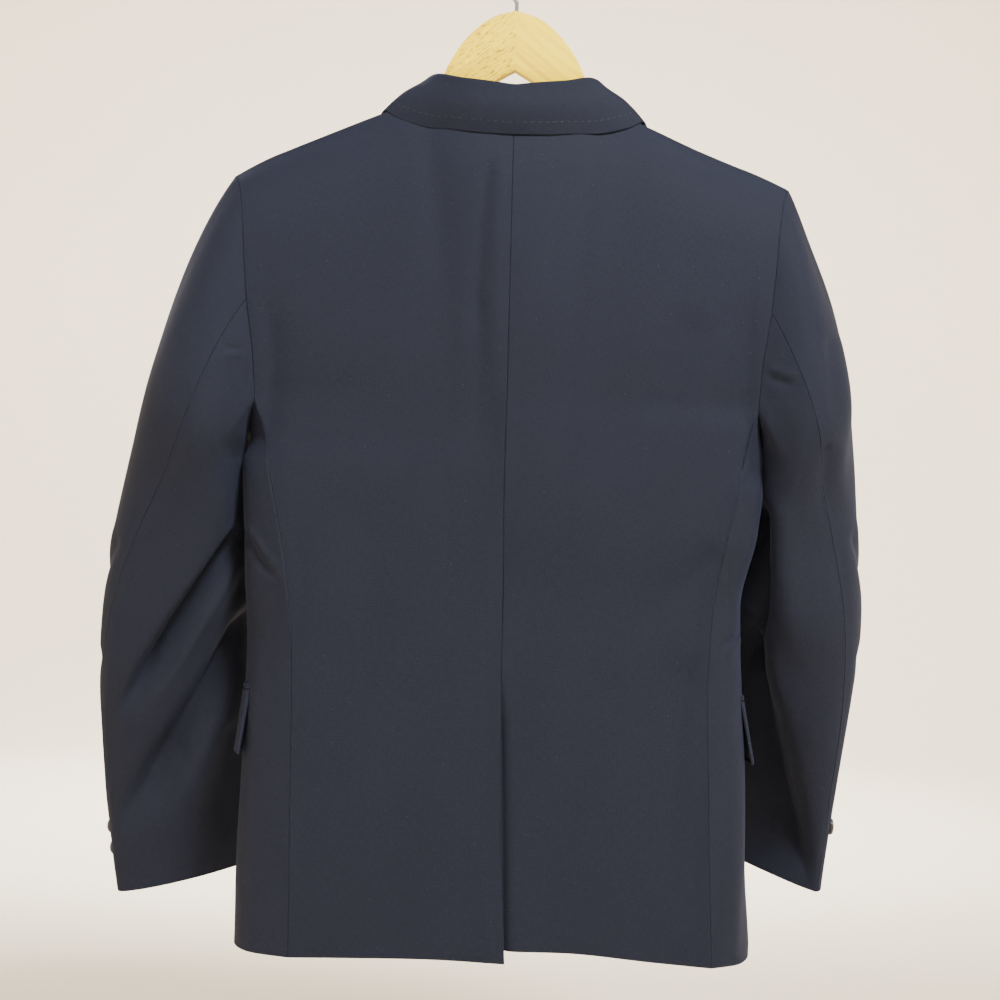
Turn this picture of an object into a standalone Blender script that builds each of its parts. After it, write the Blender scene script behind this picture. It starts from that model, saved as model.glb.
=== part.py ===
"""A single-breasted wool blazer that hangs on a plain wooden hanger.

Metres, +Z up. The front of the blazer faces -Y and the wearer's left is +X.
The origin is the top of the inside of the hanger's hook, where it rests on a rail.
Each panel is a sheet of cloth between four seams, thickened towards the inside.
"""

import math

import bpy
import numpy as np
from mathutils import Euler, Vector
from mathutils.bvhtree import BVHTree

# Cloth and seams
BODY_WALL = 0.0020
SLEEVE_WALL = 0.0018
COLLAR_WALL = 0.0020
LAPEL_WALL = 0.0018
FLAP_WALL = 0.0020
GAP = 0.0003
SEAM_TRIM = 0.00028

# Heights, all below the hook
HEM = -0.871
UNDERARM = -0.402
VENT_TOP = -0.630

# How many cells each panel has
ROWS_BELOW_ARM = 15
ROWS_AT_ARM = 10
SIDE_CELLS = 8
SHOULDER_CELLS = 10
NECK_CELLS = 3
CAP_ROWS = 7
SLEEVE_ROWS = 14
HIND_ROW = 4
FORE_ROW = 3

# Lapels
LAPEL_ROWS = 14
LAPEL_CELLS = 8
LAPEL_CLEAR = 0.0005
LAPEL_BELLY = 0.0035

# Collar
COLLAR_CELLS = 16
COLLAR_FOLD_WIDTH = 0.0066
COLLAR_CROWN = 0.0022
COLLAR_FOLD_RISE = 0.0012
COLLAR_BELLY = 0.0030
COLLAR_STAND_STEPS = (0, 0.45, 0.9)
COLLAR_LEAF_STEPS = (0.12, 0.33, 0.55, 0.78)

# Vent
VENT_FADE = 0.08
VENT_REACH = 0.05
VENT_MIDDLE = -0.005
VENT_STAND_OFF = {1: 0.0016, -1: -0.0012}
UNDERLAP_COLUMNS = 4
UNDERLAP_SHORTER = 0.010
UNDERLAP_START = 0.0015
UNDERLAP_CLEAR = 0.0008
UNDERLAP_WALL = 0.0016

# Hanger
HOOK_STEM_TOP = -0.050
HOOK_ARC = (-60, 200)
HOOK_STEP = 10
PLANK_THICK = 0.011
PLANK_SET_BACK = 0.0015
WIRE = 0.0035
HOOK_RADIUS = 0.020

# Buttons. Those of a cuff lie this many columns before the hind seam, by side and level.
CUFF_BUTTON_COLUMNS = {
    (1, "lower"): -3,
    (1, "upper"): -3,
    (-1, "lower"): -4,
    (-1, "upper"): -3,
}
BUTTON_SIDES = 16
ROUNDED_SHARE = 0.3
FRONT_BUTTON = 0.020
CUFF_BUTTON = 0.015
BUTTON_THICK = 0.0034
FRONT_BUTTON_HEIGHTS = {"top": -0.525, "lower": -0.635}
CUFF_BUTTON_RISES = {"lower": 0.038, "upper": 0.058}

# Pocket flap, measured round the body from the back's seam
FLAP_START = 0.046
FLAP_LENGTH = 0.150
FLAP_TOP = -0.650
FLAP_HEIGHT = 0.055
FLAP_ROWS = 6
FLAP_CLEAR = 0.0008
FLAP_HEM_LIFT = 0.0020
FLAP_CORNER_LIFT = 0.0060
FLAP_CORNER_REACH = 0.45
JETTING_HEIGHT = 0.005

# Centre back, from the hem up: x, y, z
CENTRE_BACK_LOWER = (
    (-0.004, 0.053, HEM),
    (-0.001, 0.051, -0.770),
    (-0.001, 0.048, -0.640),
    (-0.001, 0.047, -0.560),
    (0, 0.051, -0.480),
    (0, 0.056, UNDERARM),
)
CENTRE_BACK_UPPER = (
    (0, 0.056, UNDERARM),
    (0, 0.058, -0.320),
    (0, 0.055, -0.250),
    (0, 0.046, -0.195),
    (0, 0.030, -0.157),
)

# Seam between back and side, then the back's edge at the armhole, from the hem up: x, y, z
BACK_SEAM = (
    (0.178, 0.047, HEM),
    (0.176, 0.046, -0.720),
    (0.176, 0.044, -0.612),
    (0.179, 0.044, -0.560),
    (0.185, 0.045, -0.520),
    (0.198, 0.044, -0.458),
    (0.213, 0.040, UNDERARM),
)
BACK_ARMHOLE = (
    (0.213, 0.040, UNDERARM),
    (0.2155, 0.043, -0.360),
    (0.220, 0.043, -0.330),
    (0.2245, 0.040, -0.290),
    (0.228, 0.034, -0.250),
    (0.2335, 0.018, -0.219),
    (0.239, 0, -0.206),
)

# Seam between side and front, then the front's edge at the armhole, from the hem up: x, y, z
FRONT_SEAM = (
    (0.190, -0.047, HEM),
    (0.183, -0.047, -0.720),
    (0.181, -0.046, -0.612),
    (0.183, -0.046, -0.560),
    (0.189, -0.047, -0.500),
    (0.205, -0.045, UNDERARM),
)
FRONT_ARMHOLE = (
    (0.205, -0.045, UNDERARM),
    (0.2005, -0.050, -0.365),
    (0.203, -0.046, -0.310),
    (0.212, -0.034, -0.258),
    (0.228, -0.014, -0.222),
    (0.239, 0, -0.206),
)

# Round the side from the back's seam to the front's: x, y, z
SIDE_HEM = (
    (0.178, 0.047, HEM),
    (0.207, 0.032, HEM),
    (0.2205, 0, HEM),
    (0.212, -0.032, HEM),
    (0.190, -0.047, HEM),
)
UNDERARM_CURVE = (
    (0.213, 0.040, UNDERARM),
    (0.2175, 0.022, -0.419),
    (0.219, 0, -0.426),
    (0.2145, -0.026, -0.416),
    (0.205, -0.045, UNDERARM),
)

# Back neckline and shoulder seam, outwards: x, y, z
BACK_NECK = ((0, 0.030, -0.157), (0.040, 0.026, -0.152), (0.080, 0.004, -0.137))
SHOULDER = (
    (0.080, 0.004, -0.137),
    (0.115, 0.003, -0.150),
    (0.155, 0.002, -0.1665),
    (0.187, 0.001, -0.180),
    (0.215, 0.001, -0.1925),
    (0.239, 0, -0.206),
)

# How much lower the right shoulder lies: distance from the middle, drop
RIGHT_DROP = (
    (0.000, 0.000),
    (0.080, 0.002),
    (0.115, 0.005),
    (0.155, 0.006),
    (0.187, 0.005),
    (0.215, 0.003),
    (0.239, 0.000),
)

# How far the lower half swings to the wearer's right, and how far each side fills out: height, distance
SWING = ((HEM, 0.0065), (-0.770, 0.0035), (-0.640, 0.0005), (-0.560, 0.000))
FULLNESS = {
    1: (
        (HEM, 0.010),
        (-0.800, 0.011),
        (-0.700, 0.009),
        (-0.600, 0.010),
        (-0.520, 0.008),
        (-0.450, 0.002),
        (UNDERARM, 0),
    ),
    -1: ((HEM, -0.005), (-0.800, -0.004), (-0.700, -0.002), (-0.600, 0)),
}

# Hem of each back panel from the centre out: x, y, drop below the hem
BACK_HEM = {
    1: (
        (-0.0040, 0.053, -0.001),
        (0.060, 0.053, -0.003),
        (0.125, 0.051, -0.002),
        (0.178, 0.047, 0),
    ),
    -1: (
        (-0.0040, 0.053, -0.011),
        (-0.060, 0.053, -0.011),
        (-0.125, 0.051, -0.005),
        (-0.178, 0.047, 0),
    ),
}

# Front edge from the curved quarter up to the break, then the roll line up to the neck: x, y, z
FRONT_EDGE = (
    (0.016, -0.0625, -0.846),
    (-0.002, -0.0625, -0.815),
    (-0.012, -0.0622, -0.775),
    (-0.017, -0.0620, -0.720),
    (-0.018, -0.0610, -0.560),
    (-0.018, -0.0625, -0.500),
    (-0.008, -0.0635, -0.455),
    (0.0075, -0.0625, UNDERARM),
)
ROLL_LINE = (
    (0.0075, -0.0625, UNDERARM),
    (0.030, -0.058, -0.320),
    (0.048, -0.049, -0.250),
    (0.060, -0.036, -0.198),
    (0.072, -0.016, -0.157),
    (0.080, 0.004, -0.137),
)
FRONT_HEM = (
    (0.190, -0.047, HEM),
    (0.150, -0.057, -0.872),
    (0.100, -0.0620, -0.873),
    (0.055, -0.0625, -0.870),
    (0.032, -0.0625, -0.861),
    (0.016, -0.0625, -0.846),
)
UNDER_FRONT_INSET = 0.0042

# Lapel outline as seen from the front: x, z. The right one comes out from under the left front.
LAPEL_STARTS = {
    1: ((-0.0170, -0.499), (-0.0130, -0.501)),
    -1: ((0.0040, -0.430), (0.0125, -0.454)),
}
LAPEL_ROLL = ((0.0080, -0.405), (0.0300, -0.320), (0.0470, -0.250), (0.0590, -0.205))
LAPEL_EDGE = ((0.0280, -0.420), (0.0700, -0.340), (0.1030, -0.275), (0.1230, -0.236))

# How far back the shoulder's ridge lies under the collar, where the lines that lay the collar start
# under it, and how far the collar's outside lies above the shoulder
RIDGE_SET_BACK = 0.003
UNDER_RIDGE = 0.045
COLLAR_LIFT = 0.0036
RIDGE_LIFT = 0.0012

# Collar, from the centre back round to the gorge: x, y, z
COLLAR_STAND = (
    (0, 0.0275, -0.1550),
    (0.040, 0.0226, -0.1504),
    (0.0765, 0.0025, -0.1385),
    (0.0700, -0.0180, -0.1580),
    (0.0590, -0.0370, -0.1930),
)
COLLAR_FOLD = (
    (0, 0.0340, -0.1325),
    (0.040, 0.0295, -0.1260),
    (0.0680, 0.0030, -0.1190),
    (0.0690, -0.0260, -0.1490),
    (0.0610, -0.0450, -0.1950),
)
COLLAR_LEAF = (
    (0, 0.0440, -0.1733),
    (0.035, 0.0425, -0.1710),
    (0.070, 0.0355, -0.1615),
    (0.097, 0.0180, -0.1530),
    (0.1150, 0.0030, -0.1490),
    (0.1200, -0.020, -0.1700),
    (0.1180, -0.034, -0.1900),
    (0.1110, -0.044, -0.2120),
)

# Sleeve sections from the arm down to the cuff. Turn is the angle of the width about Z.
# Hind is where the back seam lies, in degrees from the outer end towards the back.
# x, y and z are the middle; lift is how much higher the outer end is than the middle.
SLEEVE_COLUMNS = ("x", "y", "z", "width", "depth", "turn", "lift", "hind", "under")
SLEEVE_SECTIONS = {
    1: (
        (0.2680, -0.006, -0.436, 0.0470, 0.0660, 0, 0.030, 84, 150),
        (0.2775, -0.022, -0.500, 0.0585, 0.0600, 8, 0.018, 60, 158),
        (0.2850, -0.030, -0.575, 0.0665, 0.0490, 18, 0.006, 26, 166),
        (0.2880, -0.036, -0.655, 0.0660, 0.0400, 17, 0.000, 8, 172),
        (0.2870, -0.060, -0.735, 0.0660, 0.0310, 20, -0.004, 2, 176),
        (0.2830, -0.076, -0.800, 0.0660, 0.0260, 24, -0.008, 0, 178),
        (0.2790, -0.084, -0.831, 0.0660, 0.0230, 26, -0.012, 0, 178),
    ),
    -1: (
        (0.2600, -0.014, -0.436, 0.0415, 0.0680, 0, 0.030, 84, 150),
        (0.2605, -0.030, -0.500, 0.0495, 0.0620, 8, 0.018, 60, 158),
        (0.2615, -0.024, -0.575, 0.0590, 0.0500, 22, 0.006, 34, 166),
        (0.2545, -0.042, -0.650, 0.0600, 0.0400, 30, 0.000, 16, 172),
        (0.2465, -0.068, -0.730, 0.0620, 0.0310, 38, -0.004, 6, 176),
        (0.2470, -0.083, -0.785, 0.0640, 0.0250, 43, -0.010, 0, 178),
        (0.2455, -0.088, -0.811, 0.0650, 0.0220, 45, -0.014, 0, 178),
    ),
}
# The way that each sleeve leaves its armhole, given at the armhole's back, and half the armhole's depth
SLEEVE_HEADS = {1: (0.55, 0.28, -0.84), -1: (0.44, 0.26, -0.88)}
HALF_ARMHOLE = 0.045

# Folds of the sleeves, as troughs across them: side, height, angle, slope, width, depth.
# Each fades out this many degrees from its angle, and falls by slope times this far for each radian.
FOLD_SPREAD = 70
FOLD_FALL = 0.05
SLEEVE_FOLDS = (
    (1, -0.640, 90, 0.9, 0.030, 0.006),
    (1, -0.735, 80, 0.8, 0.026, 0.005),
    (1, -0.560, 240, -0.7, 0.030, 0.005),
    (-1, -0.600, 110, 0.8, 0.030, 0.006),
    (-1, -0.700, 100, 0.7, 0.026, 0.004),
    (-1, -0.560, 250, -0.7, 0.030, 0.005),
)

# Hanger arm as seen from the front, along the top out and the bottom back: x, z
ARM_TOP = (
    (0, -0.0590),
    (0.020, -0.0650),
    (0.040, -0.0810),
    (0.057, -0.1060),
    (0.067, -0.1320),
    (0.078, -0.1505),
    (0.090, -0.1560),
    (0.115, -0.1620),
    (0.155, -0.1785),
    (0.187, -0.1922),
    (0.212, -0.2035),
)
ARM_BOTTOM = (
    (0.214, -0.2080),
    (0.180, -0.2080),
    (0.130, -0.1990),
    (0.085, -0.1790),
    (0.045, -0.1450),
    (0.020, -0.1220),
    (0, -0.1100),
)

NAVY = (0.022, 0.025, 0.042, 1)
BUTTON = (0.040, 0.035, 0.030, 1)
PINE = (0.830, 0.640, 0.240, 1)
STEEL = (0.450, 0.450, 0.460, 1)


def unit(vectors):
    """Each vector at length one."""
    lengths = np.linalg.norm(vectors, axis=-1, keepdims=True)
    return vectors / np.maximum(lengths, 1e-9)


def smooth(points, cells):
    """Evenly spaced points along a smooth curve through the given ones."""
    points = np.array(points, float)
    steps = np.linalg.norm(np.diff(points, axis=0), axis=1)
    at = np.concatenate([[0], np.cumsum(steps)])
    slopes = np.gradient(points, at, axis=0)
    fine = np.linspace(0, at[-1], 40 * len(points))
    piece = np.clip(np.searchsorted(at, fine, side="right") - 1, 0, len(steps) - 1)
    length = steps[piece][:, None]
    t = ((fine - at[piece]) / steps[piece])[:, None]
    curve = (
        (2 * t**3 - 3 * t**2 + 1) * points[piece]
        + (t**3 - 2 * t**2 + t) * length * slopes[piece]
        + (3 * t**2 - 2 * t**3) * points[piece + 1]
        + (t**3 - t**2) * length * slopes[piece + 1]
    )
    run = np.concatenate([[0], np.cumsum(np.linalg.norm(np.diff(curve, axis=0), axis=1))])
    even = np.linspace(0, run[-1], cells + 1)
    return np.stack([np.interp(even, run, curve[:, i]) for i in range(curve.shape[1])], axis=1)


def sided(points, side):
    """Points of the wearer's left, turned over to the right where side is -1."""
    return np.array(points, float) * (side, 1, 1)


def joined(first, second):
    """Two curves that meet, as one."""
    return np.concatenate([first, second[1:]])


def sheet_between(bottom, top, first, last, fade):
    """A grid of rows between four edges. The top edge's own shape fades out downwards."""
    s = np.linspace(0, 1, len(bottom))[None, :, None]
    t = np.linspace(0, 1, len(first))[:, None, None]
    across = (1 - s) * first[:, None] + s * last[:, None]
    bottom_shape = bottom[None] - ((1 - s) * bottom[0] + s * bottom[-1])
    top_shape = top[None] - ((1 - s) * top[0] + s * top[-1])
    return across + (1 - t**fade) * bottom_shape + t**fade * top_shape


def normals_of(grid, side):
    """Unit normals that point out of the garment, one for each point of a grid."""
    along = np.gradient(grid, axis=1)
    up = np.gradient(grid, axis=0)
    return unit(np.cross(up, along)) * side


def key(point):
    return tuple(np.round(point * 1e5).astype(int))


class Seams:
    """Normals that neighbouring panels share along a seam, so that their walls end in one plane."""

    def __init__(self):
        self.sums = {}
        self.fixed = {}

    def add(self, grid, normals):
        for point, normal in zip(grid.reshape(-1, 3), normals.reshape(-1, 3)):
            self.sums[key(point)] = self.sums.get(key(point), 0) + normal

    def fix(self, points, normals):
        for point, normal in zip(points, normals):
            self.fixed[key(point)] = normal

    def of(self, grid):
        found = [self.fixed.get(key(p), self.sums[key(p)]) for p in grid.reshape(-1, 3)]
        return unit(np.array(found)).reshape(grid.shape)


def trimmed(grid, edges):
    """The grid with the named edges drawn in by half of a seam's gap."""
    grid = grid.copy()
    pairs = {"first": (0, 1), "last": (-1, -2)}
    for name in edges:
        end, kind = name.split("_")
        edge, inner = pairs[end]
        if kind == "row":
            grid[edge] += unit(grid[inner] - grid[edge]) * SEAM_TRIM
        else:
            grid[:, edge] += unit(grid[:, inner] - grid[:, edge]) * SEAM_TRIM
    return grid


def material(name, colour, roughness, metallic=0.0):
    """One Principled material of its own for a part."""
    made = bpy.data.materials.new(name)
    made.use_nodes = True
    shader = made.node_tree.nodes["Principled BSDF"]
    shader.inputs["Base Color"].default_value = colour
    shader.inputs["Roughness"].default_value = roughness
    shader.inputs["Metallic"].default_value = metallic
    made.diffuse_color = colour
    return made


def dress(made, colour, roughness, metallic=0.0):
    """Gives an object its material and moves it into the blazer's collection."""
    made.data.materials.clear()
    made.data.materials.append(material(made.name, colour, roughness, metallic))
    for holder in list(made.users_collection):
        holder.objects.unlink(made)
    bpy.data.collections["blazer"].objects.link(made)
    return made


def add_wall(name, outer, inner, colour=NAVY, roughness=0.9):
    """A closed wall of cloth between two grids, as its own object."""
    rows, columns = outer.shape[:2]
    count = rows * columns
    index = np.arange(count).reshape(rows, columns)
    faces = []
    for r in range(rows - 1):
        for c in range(columns - 1):
            cell = (index[r, c], index[r, c + 1], index[r + 1, c + 1], index[r + 1, c])
            faces.append(cell)
            faces.append(tuple(i + count for i in reversed(cell)))
    border = [index[0, c] for c in range(columns)] + [index[r, -1] for r in range(1, rows)]
    border += [index[-1, c] for c in range(columns - 2, -1, -1)]
    border += [index[r, 0] for r in range(rows - 2, 0, -1)]
    last_column = set(index[:, -1])
    for a, b in zip(border, border[1:] + border[:1]):
        if a in last_column and b in last_column:
            faces.append((a, a + count, b + count, b))
        else:
            faces.append((b, a, a + count, b + count))
    mesh = bpy.data.meshes.new(name)
    points = np.concatenate([outer.reshape(-1, 3), inner.reshape(-1, 3)])
    mesh.from_pydata(points.tolist(), [], [tuple(int(i) for i in face) for face in faces])
    if signed_volume(mesh) < 0:
        mesh.flip_normals()
    mesh.shade_smooth()
    mesh.set_sharp_from_angle(angle=math.radians(40))
    made = bpy.data.objects.new(name, mesh)
    bpy.context.scene.collection.objects.link(made)
    return dress(made, colour, roughness)


def signed_volume(mesh):
    """Six times the volume, above zero where the faces point out."""
    mesh.calc_loop_triangles()
    total = 0.0
    for triangle in mesh.loop_triangles:
        a, b, c = (mesh.vertices[i].co for i in triangle.vertices)
        total += a.dot(b.cross(c))
    return total


def right_drop(x):
    """How much lower the shoulder lies at this x than on the left."""
    table = np.array(RIGHT_DROP)
    return np.where(x < 0, np.interp(np.abs(x), table[:, 0], table[:, 1]), 0)


def dropped(points, side):
    """A curve of the shoulder turned to its side, and lowered on the right."""
    points = sided(points, side)
    points[:, 2] -= right_drop(points[:, 0])
    return points


def by_height(table, z):
    """A value read from a table of heights that run from the hem up."""
    table = np.array(table)
    return np.interp(z, table[:, 0], table[:, 1])


def swung(grid):
    """The grid with its lower half swung to the wearer's right, as it hangs."""
    grid[..., 0] -= by_height(SWING, grid[..., 2])
    return grid


def back_grid(side):
    """One half of the back, from the centre seam out and from the hem up."""
    lower = np.array(CENTRE_BACK_LOWER, float)
    hem = np.array([(x, y, HEM - drop) for x, y, drop in BACK_HEM[side]])
    lower[0] = hem[0]
    centre = joined(smooth(lower, ROWS_BELOW_ARM), smooth(CENTRE_BACK_UPPER, ROWS_AT_ARM))
    outer = joined(smooth(BACK_SEAM, ROWS_BELOW_ARM), smooth(BACK_ARMHOLE, ROWS_AT_ARM))
    top = joined(smooth(BACK_NECK, NECK_CELLS), smooth(SHOULDER, SHOULDER_CELLS))
    bottom = smooth(hem, NECK_CELLS + SHOULDER_CELLS)
    return swung(sheet_between(bottom, dropped(top, side), centre, sided(outer, side), 5))


def side_grid(side):
    """The side body, from the back's seam round to the front's."""
    bottom = smooth(SIDE_HEM, SIDE_CELLS)
    top = smooth(UNDERARM_CURVE, SIDE_CELLS)
    first = smooth(BACK_SEAM, ROWS_BELOW_ARM)
    last = smooth(FRONT_SEAM, ROWS_BELOW_ARM)
    grid = sheet_between(bottom, top, first, last, 2.5)
    belly = np.sin(np.linspace(0, math.pi, grid.shape[1]))[None, :]
    grid[..., 0] += by_height(FULLNESS[side], grid[..., 2]) * belly
    return swung(sided(grid, side))


def front_grid(side):
    """One front, from the side seam and armhole to the front edge and roll line."""
    first = joined(smooth(FRONT_SEAM, ROWS_BELOW_ARM), smooth(FRONT_ARMHOLE, ROWS_AT_ARM))
    last = joined(smooth(FRONT_EDGE, ROWS_BELOW_ARM), smooth(ROLL_LINE, ROWS_AT_ARM))
    bottom = smooth(FRONT_HEM, SHOULDER_CELLS)
    top = smooth(SHOULDER, SHOULDER_CELLS)[::-1]
    top[:, 2] -= right_drop(top[:, 0] * side)
    last[ROWS_BELOW_ARM:, 2] -= right_drop(last[-1, 0] * side) * np.linspace(0, 1, ROWS_AT_ARM + 1)
    grid = sheet_between(bottom, top, first, last, 5)
    if side < 0:
        toward_edge = np.linspace(0, 1, grid.shape[1])[None, :] ** 2
        rows = np.arange(len(grid))[:, None]
        below_neck = np.clip((len(grid) - 1 - rows) / ROWS_AT_ARM, 0, 1)
        grid[..., 1] += UNDER_FRONT_INSET * toward_edge * below_neck
    return swung(sided(grid, side))


def vent_step(grid, side):
    """The left half stands over the right one at the vent."""
    low = np.clip((VENT_TOP - grid[..., 2]) / VENT_FADE, 0, 1)
    near = np.clip(1 - np.abs(grid[..., 0] - VENT_MIDDLE) / VENT_REACH, 0, 1) ** 2
    grid[..., 1] += VENT_STAND_OFF[side] * low * near
    return grid


def sleeve_row(section, side):
    """The points of one section of a sleeve, round from the hind seam under the arm."""
    row = dict(zip(SLEEVE_COLUMNS, section))
    under_cells = HIND_ROW + SIDE_CELLS + FORE_ROW
    top_cells = 2 * ROWS_AT_ARM - HIND_ROW - FORE_ROW
    under = row["hind"] + row["under"] * np.arange(under_cells) / under_cells
    over = row["hind"] + row["under"] + (360 - row["under"]) * np.arange(top_cells + 1) / top_cells
    angle = np.radians(np.concatenate([under, over]))
    wide = row["width"] * np.cos(angle)
    deep = row["depth"] * np.sin(angle)
    turn = math.radians(row["turn"])
    x = row["x"] + wide * math.cos(turn) - deep * math.sin(turn)
    y = row["y"] + wide * math.sin(turn) + deep * math.cos(turn)
    z = row["z"] + row["lift"] * np.cos(angle)
    return np.stack([x * side, y, z], axis=1)


def armhole_ring(back, side_body, front):
    """The armhole, from the hind seam down, under the arm and round by the front."""
    back_edge = back[ROWS_BELOW_ARM:, -1]
    front_edge = front[ROWS_BELOW_ARM:, 0]
    down = back_edge[HIND_ROW::-1]
    up_to_seam = back_edge[:HIND_ROW - 1:-1]
    ring = joined(joined(down, side_body[-1]), front_edge)
    return joined(ring, up_to_seam)


def sleeve_grid(ring, side):
    """A sleeve from the armhole down, one column more than its cells, since the last repeats the first."""
    sections = np.array(SLEEVE_SECTIONS[side])
    heights = sections[:, SLEEVE_COLUMNS.index("z")]
    even = np.linspace(heights[0], heights[-1], SLEEVE_ROWS + 1)
    columns = [np.interp(-even, -heights, sections[:, i]) for i in range(len(SLEEVE_COLUMNS))]
    rows = [sleeve_row(values, side) for values in rounded_rows(np.stack(columns, axis=1))]
    start = ring + (side * GAP, 0, 0)
    goal = rows[0]
    reach = np.linalg.norm(goal - start, axis=1)[:, None]
    away = np.tile(np.array(SLEEVE_HEADS[side]) * (side, 1, 1), (len(ring), 1))
    away[:, 1] *= ring[:, 1] / HALF_ARMHOLE
    arrive = unit(rows[1] - rows[0])
    cap = []
    for t in np.arange(CAP_ROWS) / CAP_ROWS:
        cap.append(
            (2 * t**3 - 3 * t**2 + 1) * start
            + (t**3 - 2 * t**2 + t) * reach * unit(away)
            + (3 * t**2 - 2 * t**3) * goal
            + (t**3 - t**2) * reach * arrive
        )
    return folded(np.array(cap + rows), side)


def rounded_rows(rows):
    """Table rows with their corners softened, the first and last kept."""
    soft = rows.copy()
    for _ in range(2):
        soft[1:-1] = (soft[:-2] + 2 * soft[1:-1] + soft[2:]) / 4
    return soft


def folded(grid, side):
    """Presses the sleeve's largest folds into a grid of its points."""
    middle = grid[:, :-1].mean(axis=1, keepdims=True)
    outward = unit((grid - middle) * (1, 1, 0))
    angle = np.degrees(np.arctan2(outward[..., 1], outward[..., 0] * side)) % 360
    for fold_side, height, toward, slope, width, depth in SLEEVE_FOLDS:
        if fold_side != side:
            continue
        turned = (angle - toward + 180) % 360 - 180
        line = grid[..., 2] - height - slope * np.radians(turned) * FOLD_FALL
        near = np.clip(1 - np.abs(turned) / FOLD_SPREAD, 0, 1)
        grid = grid - outward * (depth * near * np.exp(-((line / width) ** 2)))[..., None]
    return grid


class Body:
    """The rows of side and front together, to lay things on."""

    def __init__(self, side_body, front, side):
        below = ROWS_BELOW_ARM + 1
        self.rows = np.concatenate([side_body[:below], front[:below, 1:]], axis=1)
        self.heights = self.rows[:, :, 2].mean(axis=1)
        self.side = side

    def at(self, column, height):
        """The point of the outside at this height, on a column that may lie between two."""
        row = np.interp(height, self.heights, np.arange(len(self.heights)))
        low, near = (min(int(v), n - 2) for v, n in zip((row, column), self.rows.shape))
        pair = self.rows[low:low + 2]
        across = pair[:, near] + (pair[:, near + 1] - pair[:, near]) * (column - near)
        return across[0] + (across[1] - across[0]) * (row - low)

    def outward(self, column, height):
        along = self.at(column + 0.3, height) - self.at(column - 0.3, height)
        up = self.at(column, height + 0.008) - self.at(column, height - 0.008)
        return unit(np.cross(up, along)) * self.side

    def column_at(self, distance, height):
        """The column that lies this far round from the back's seam."""
        columns = np.arange(self.rows.shape[1])
        row = np.array([self.at(c, height) for c in columns])
        run = np.concatenate([[0], np.cumsum(np.linalg.norm(np.diff(row, axis=0), axis=1))])
        return np.interp(distance, run, columns)


def laid_piece(body, columns, heights, lift):
    """A grid of points on the body, moved out by a lift that may differ from place to place."""
    grid = np.empty((len(heights), len(columns), 3))
    facing = np.empty_like(grid)
    for r, height in enumerate(heights):
        for c, column in enumerate(columns):
            up, along = r / (len(heights) - 1), c / (len(columns) - 1)
            facing[r, c] = body.outward(column, height)
            grid[r, c] = body.at(column, height) + facing[r, c] * lift(up, along)
    return grid, facing


def add_pocket(body, name):
    """A pocket's jetting, and its flap that hangs from it and stands off at its lower back corner."""
    ends = [body.column_at(d, FLAP_TOP) for d in (FLAP_START, FLAP_START + FLAP_LENGTH)]
    between = list(range(math.ceil(ends[0] + 0.1), math.floor(ends[1] - 0.1) + 1))
    columns = [ends[0]] + between + [ends[1]]
    heights = np.linspace(FLAP_TOP - FLAP_HEIGHT, FLAP_TOP, FLAP_ROWS)

    def flap_lift(up, along):
        corner = (1 - up) * max(0.0, 1 - along / FLAP_CORNER_REACH)
        return FLAP_WALL + FLAP_CLEAR + FLAP_HEM_LIFT * (1 - up) + FLAP_CORNER_LIFT * corner

    outer, facing = laid_piece(body, columns, heights, flap_lift)
    add_wall("pocket_flap_" + name, outer, outer - facing * FLAP_WALL)
    strip = (FLAP_TOP + GAP, FLAP_TOP + JETTING_HEIGHT)
    outer, facing = laid_piece(body, columns, strip, lambda up, along: FLAP_WALL + 2 * GAP)
    add_wall("pocket_jetting_" + name, outer, outer - facing * FLAP_WALL)


def tree_of(grids):
    """A search tree over the outside of some panels."""
    points, faces = [], []
    for grid in grids:
        start = len(points)
        rows, columns = grid.shape[:2]
        points += [Vector(p) for p in grid.reshape(-1, 3)]
        for r in range(rows - 1):
            for c in range(columns - 1):
                a = start + r * columns + c
                faces.append((a, a + 1, a + columns + 1, a + columns))
    return BVHTree.FromPolygons(points, faces)


def add_lapel(tree, name, side):
    """A lapel that lies on its front, from the roll line to the notch."""
    roll_start, edge_start = LAPEL_STARTS[side]
    roll = smooth([(x, 0, z) for x, z in (roll_start,) + LAPEL_ROLL], LAPEL_ROWS)
    edge = smooth([(x, 0, z) for x, z in (edge_start,) + LAPEL_EDGE], LAPEL_ROWS)
    grid = np.empty((LAPEL_ROWS + 1, LAPEL_CELLS + 1, 3))
    for r in range(LAPEL_ROWS + 1):
        for c in range(LAPEL_CELLS + 1):
            across = c / LAPEL_CELLS
            plan = roll[r] + (edge[r] - roll[r]) * across
            above = Vector((plan[0] * side, -0.3, plan[2]))
            hit = tree.ray_cast(above, Vector((0, 1, 0)))[0]
            if hit is None:
                hit = tree.find_nearest(above)[0]
            belly = LAPEL_BELLY * math.sin(math.pi * across) * r / LAPEL_ROWS
            grid[r, c] = (plan[0] * side, hit.y - LAPEL_WALL - LAPEL_CLEAR - belly, plan[2])
    add_wall("lapel_" + name, grid, grid + (0, LAPEL_WALL, 0))


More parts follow.
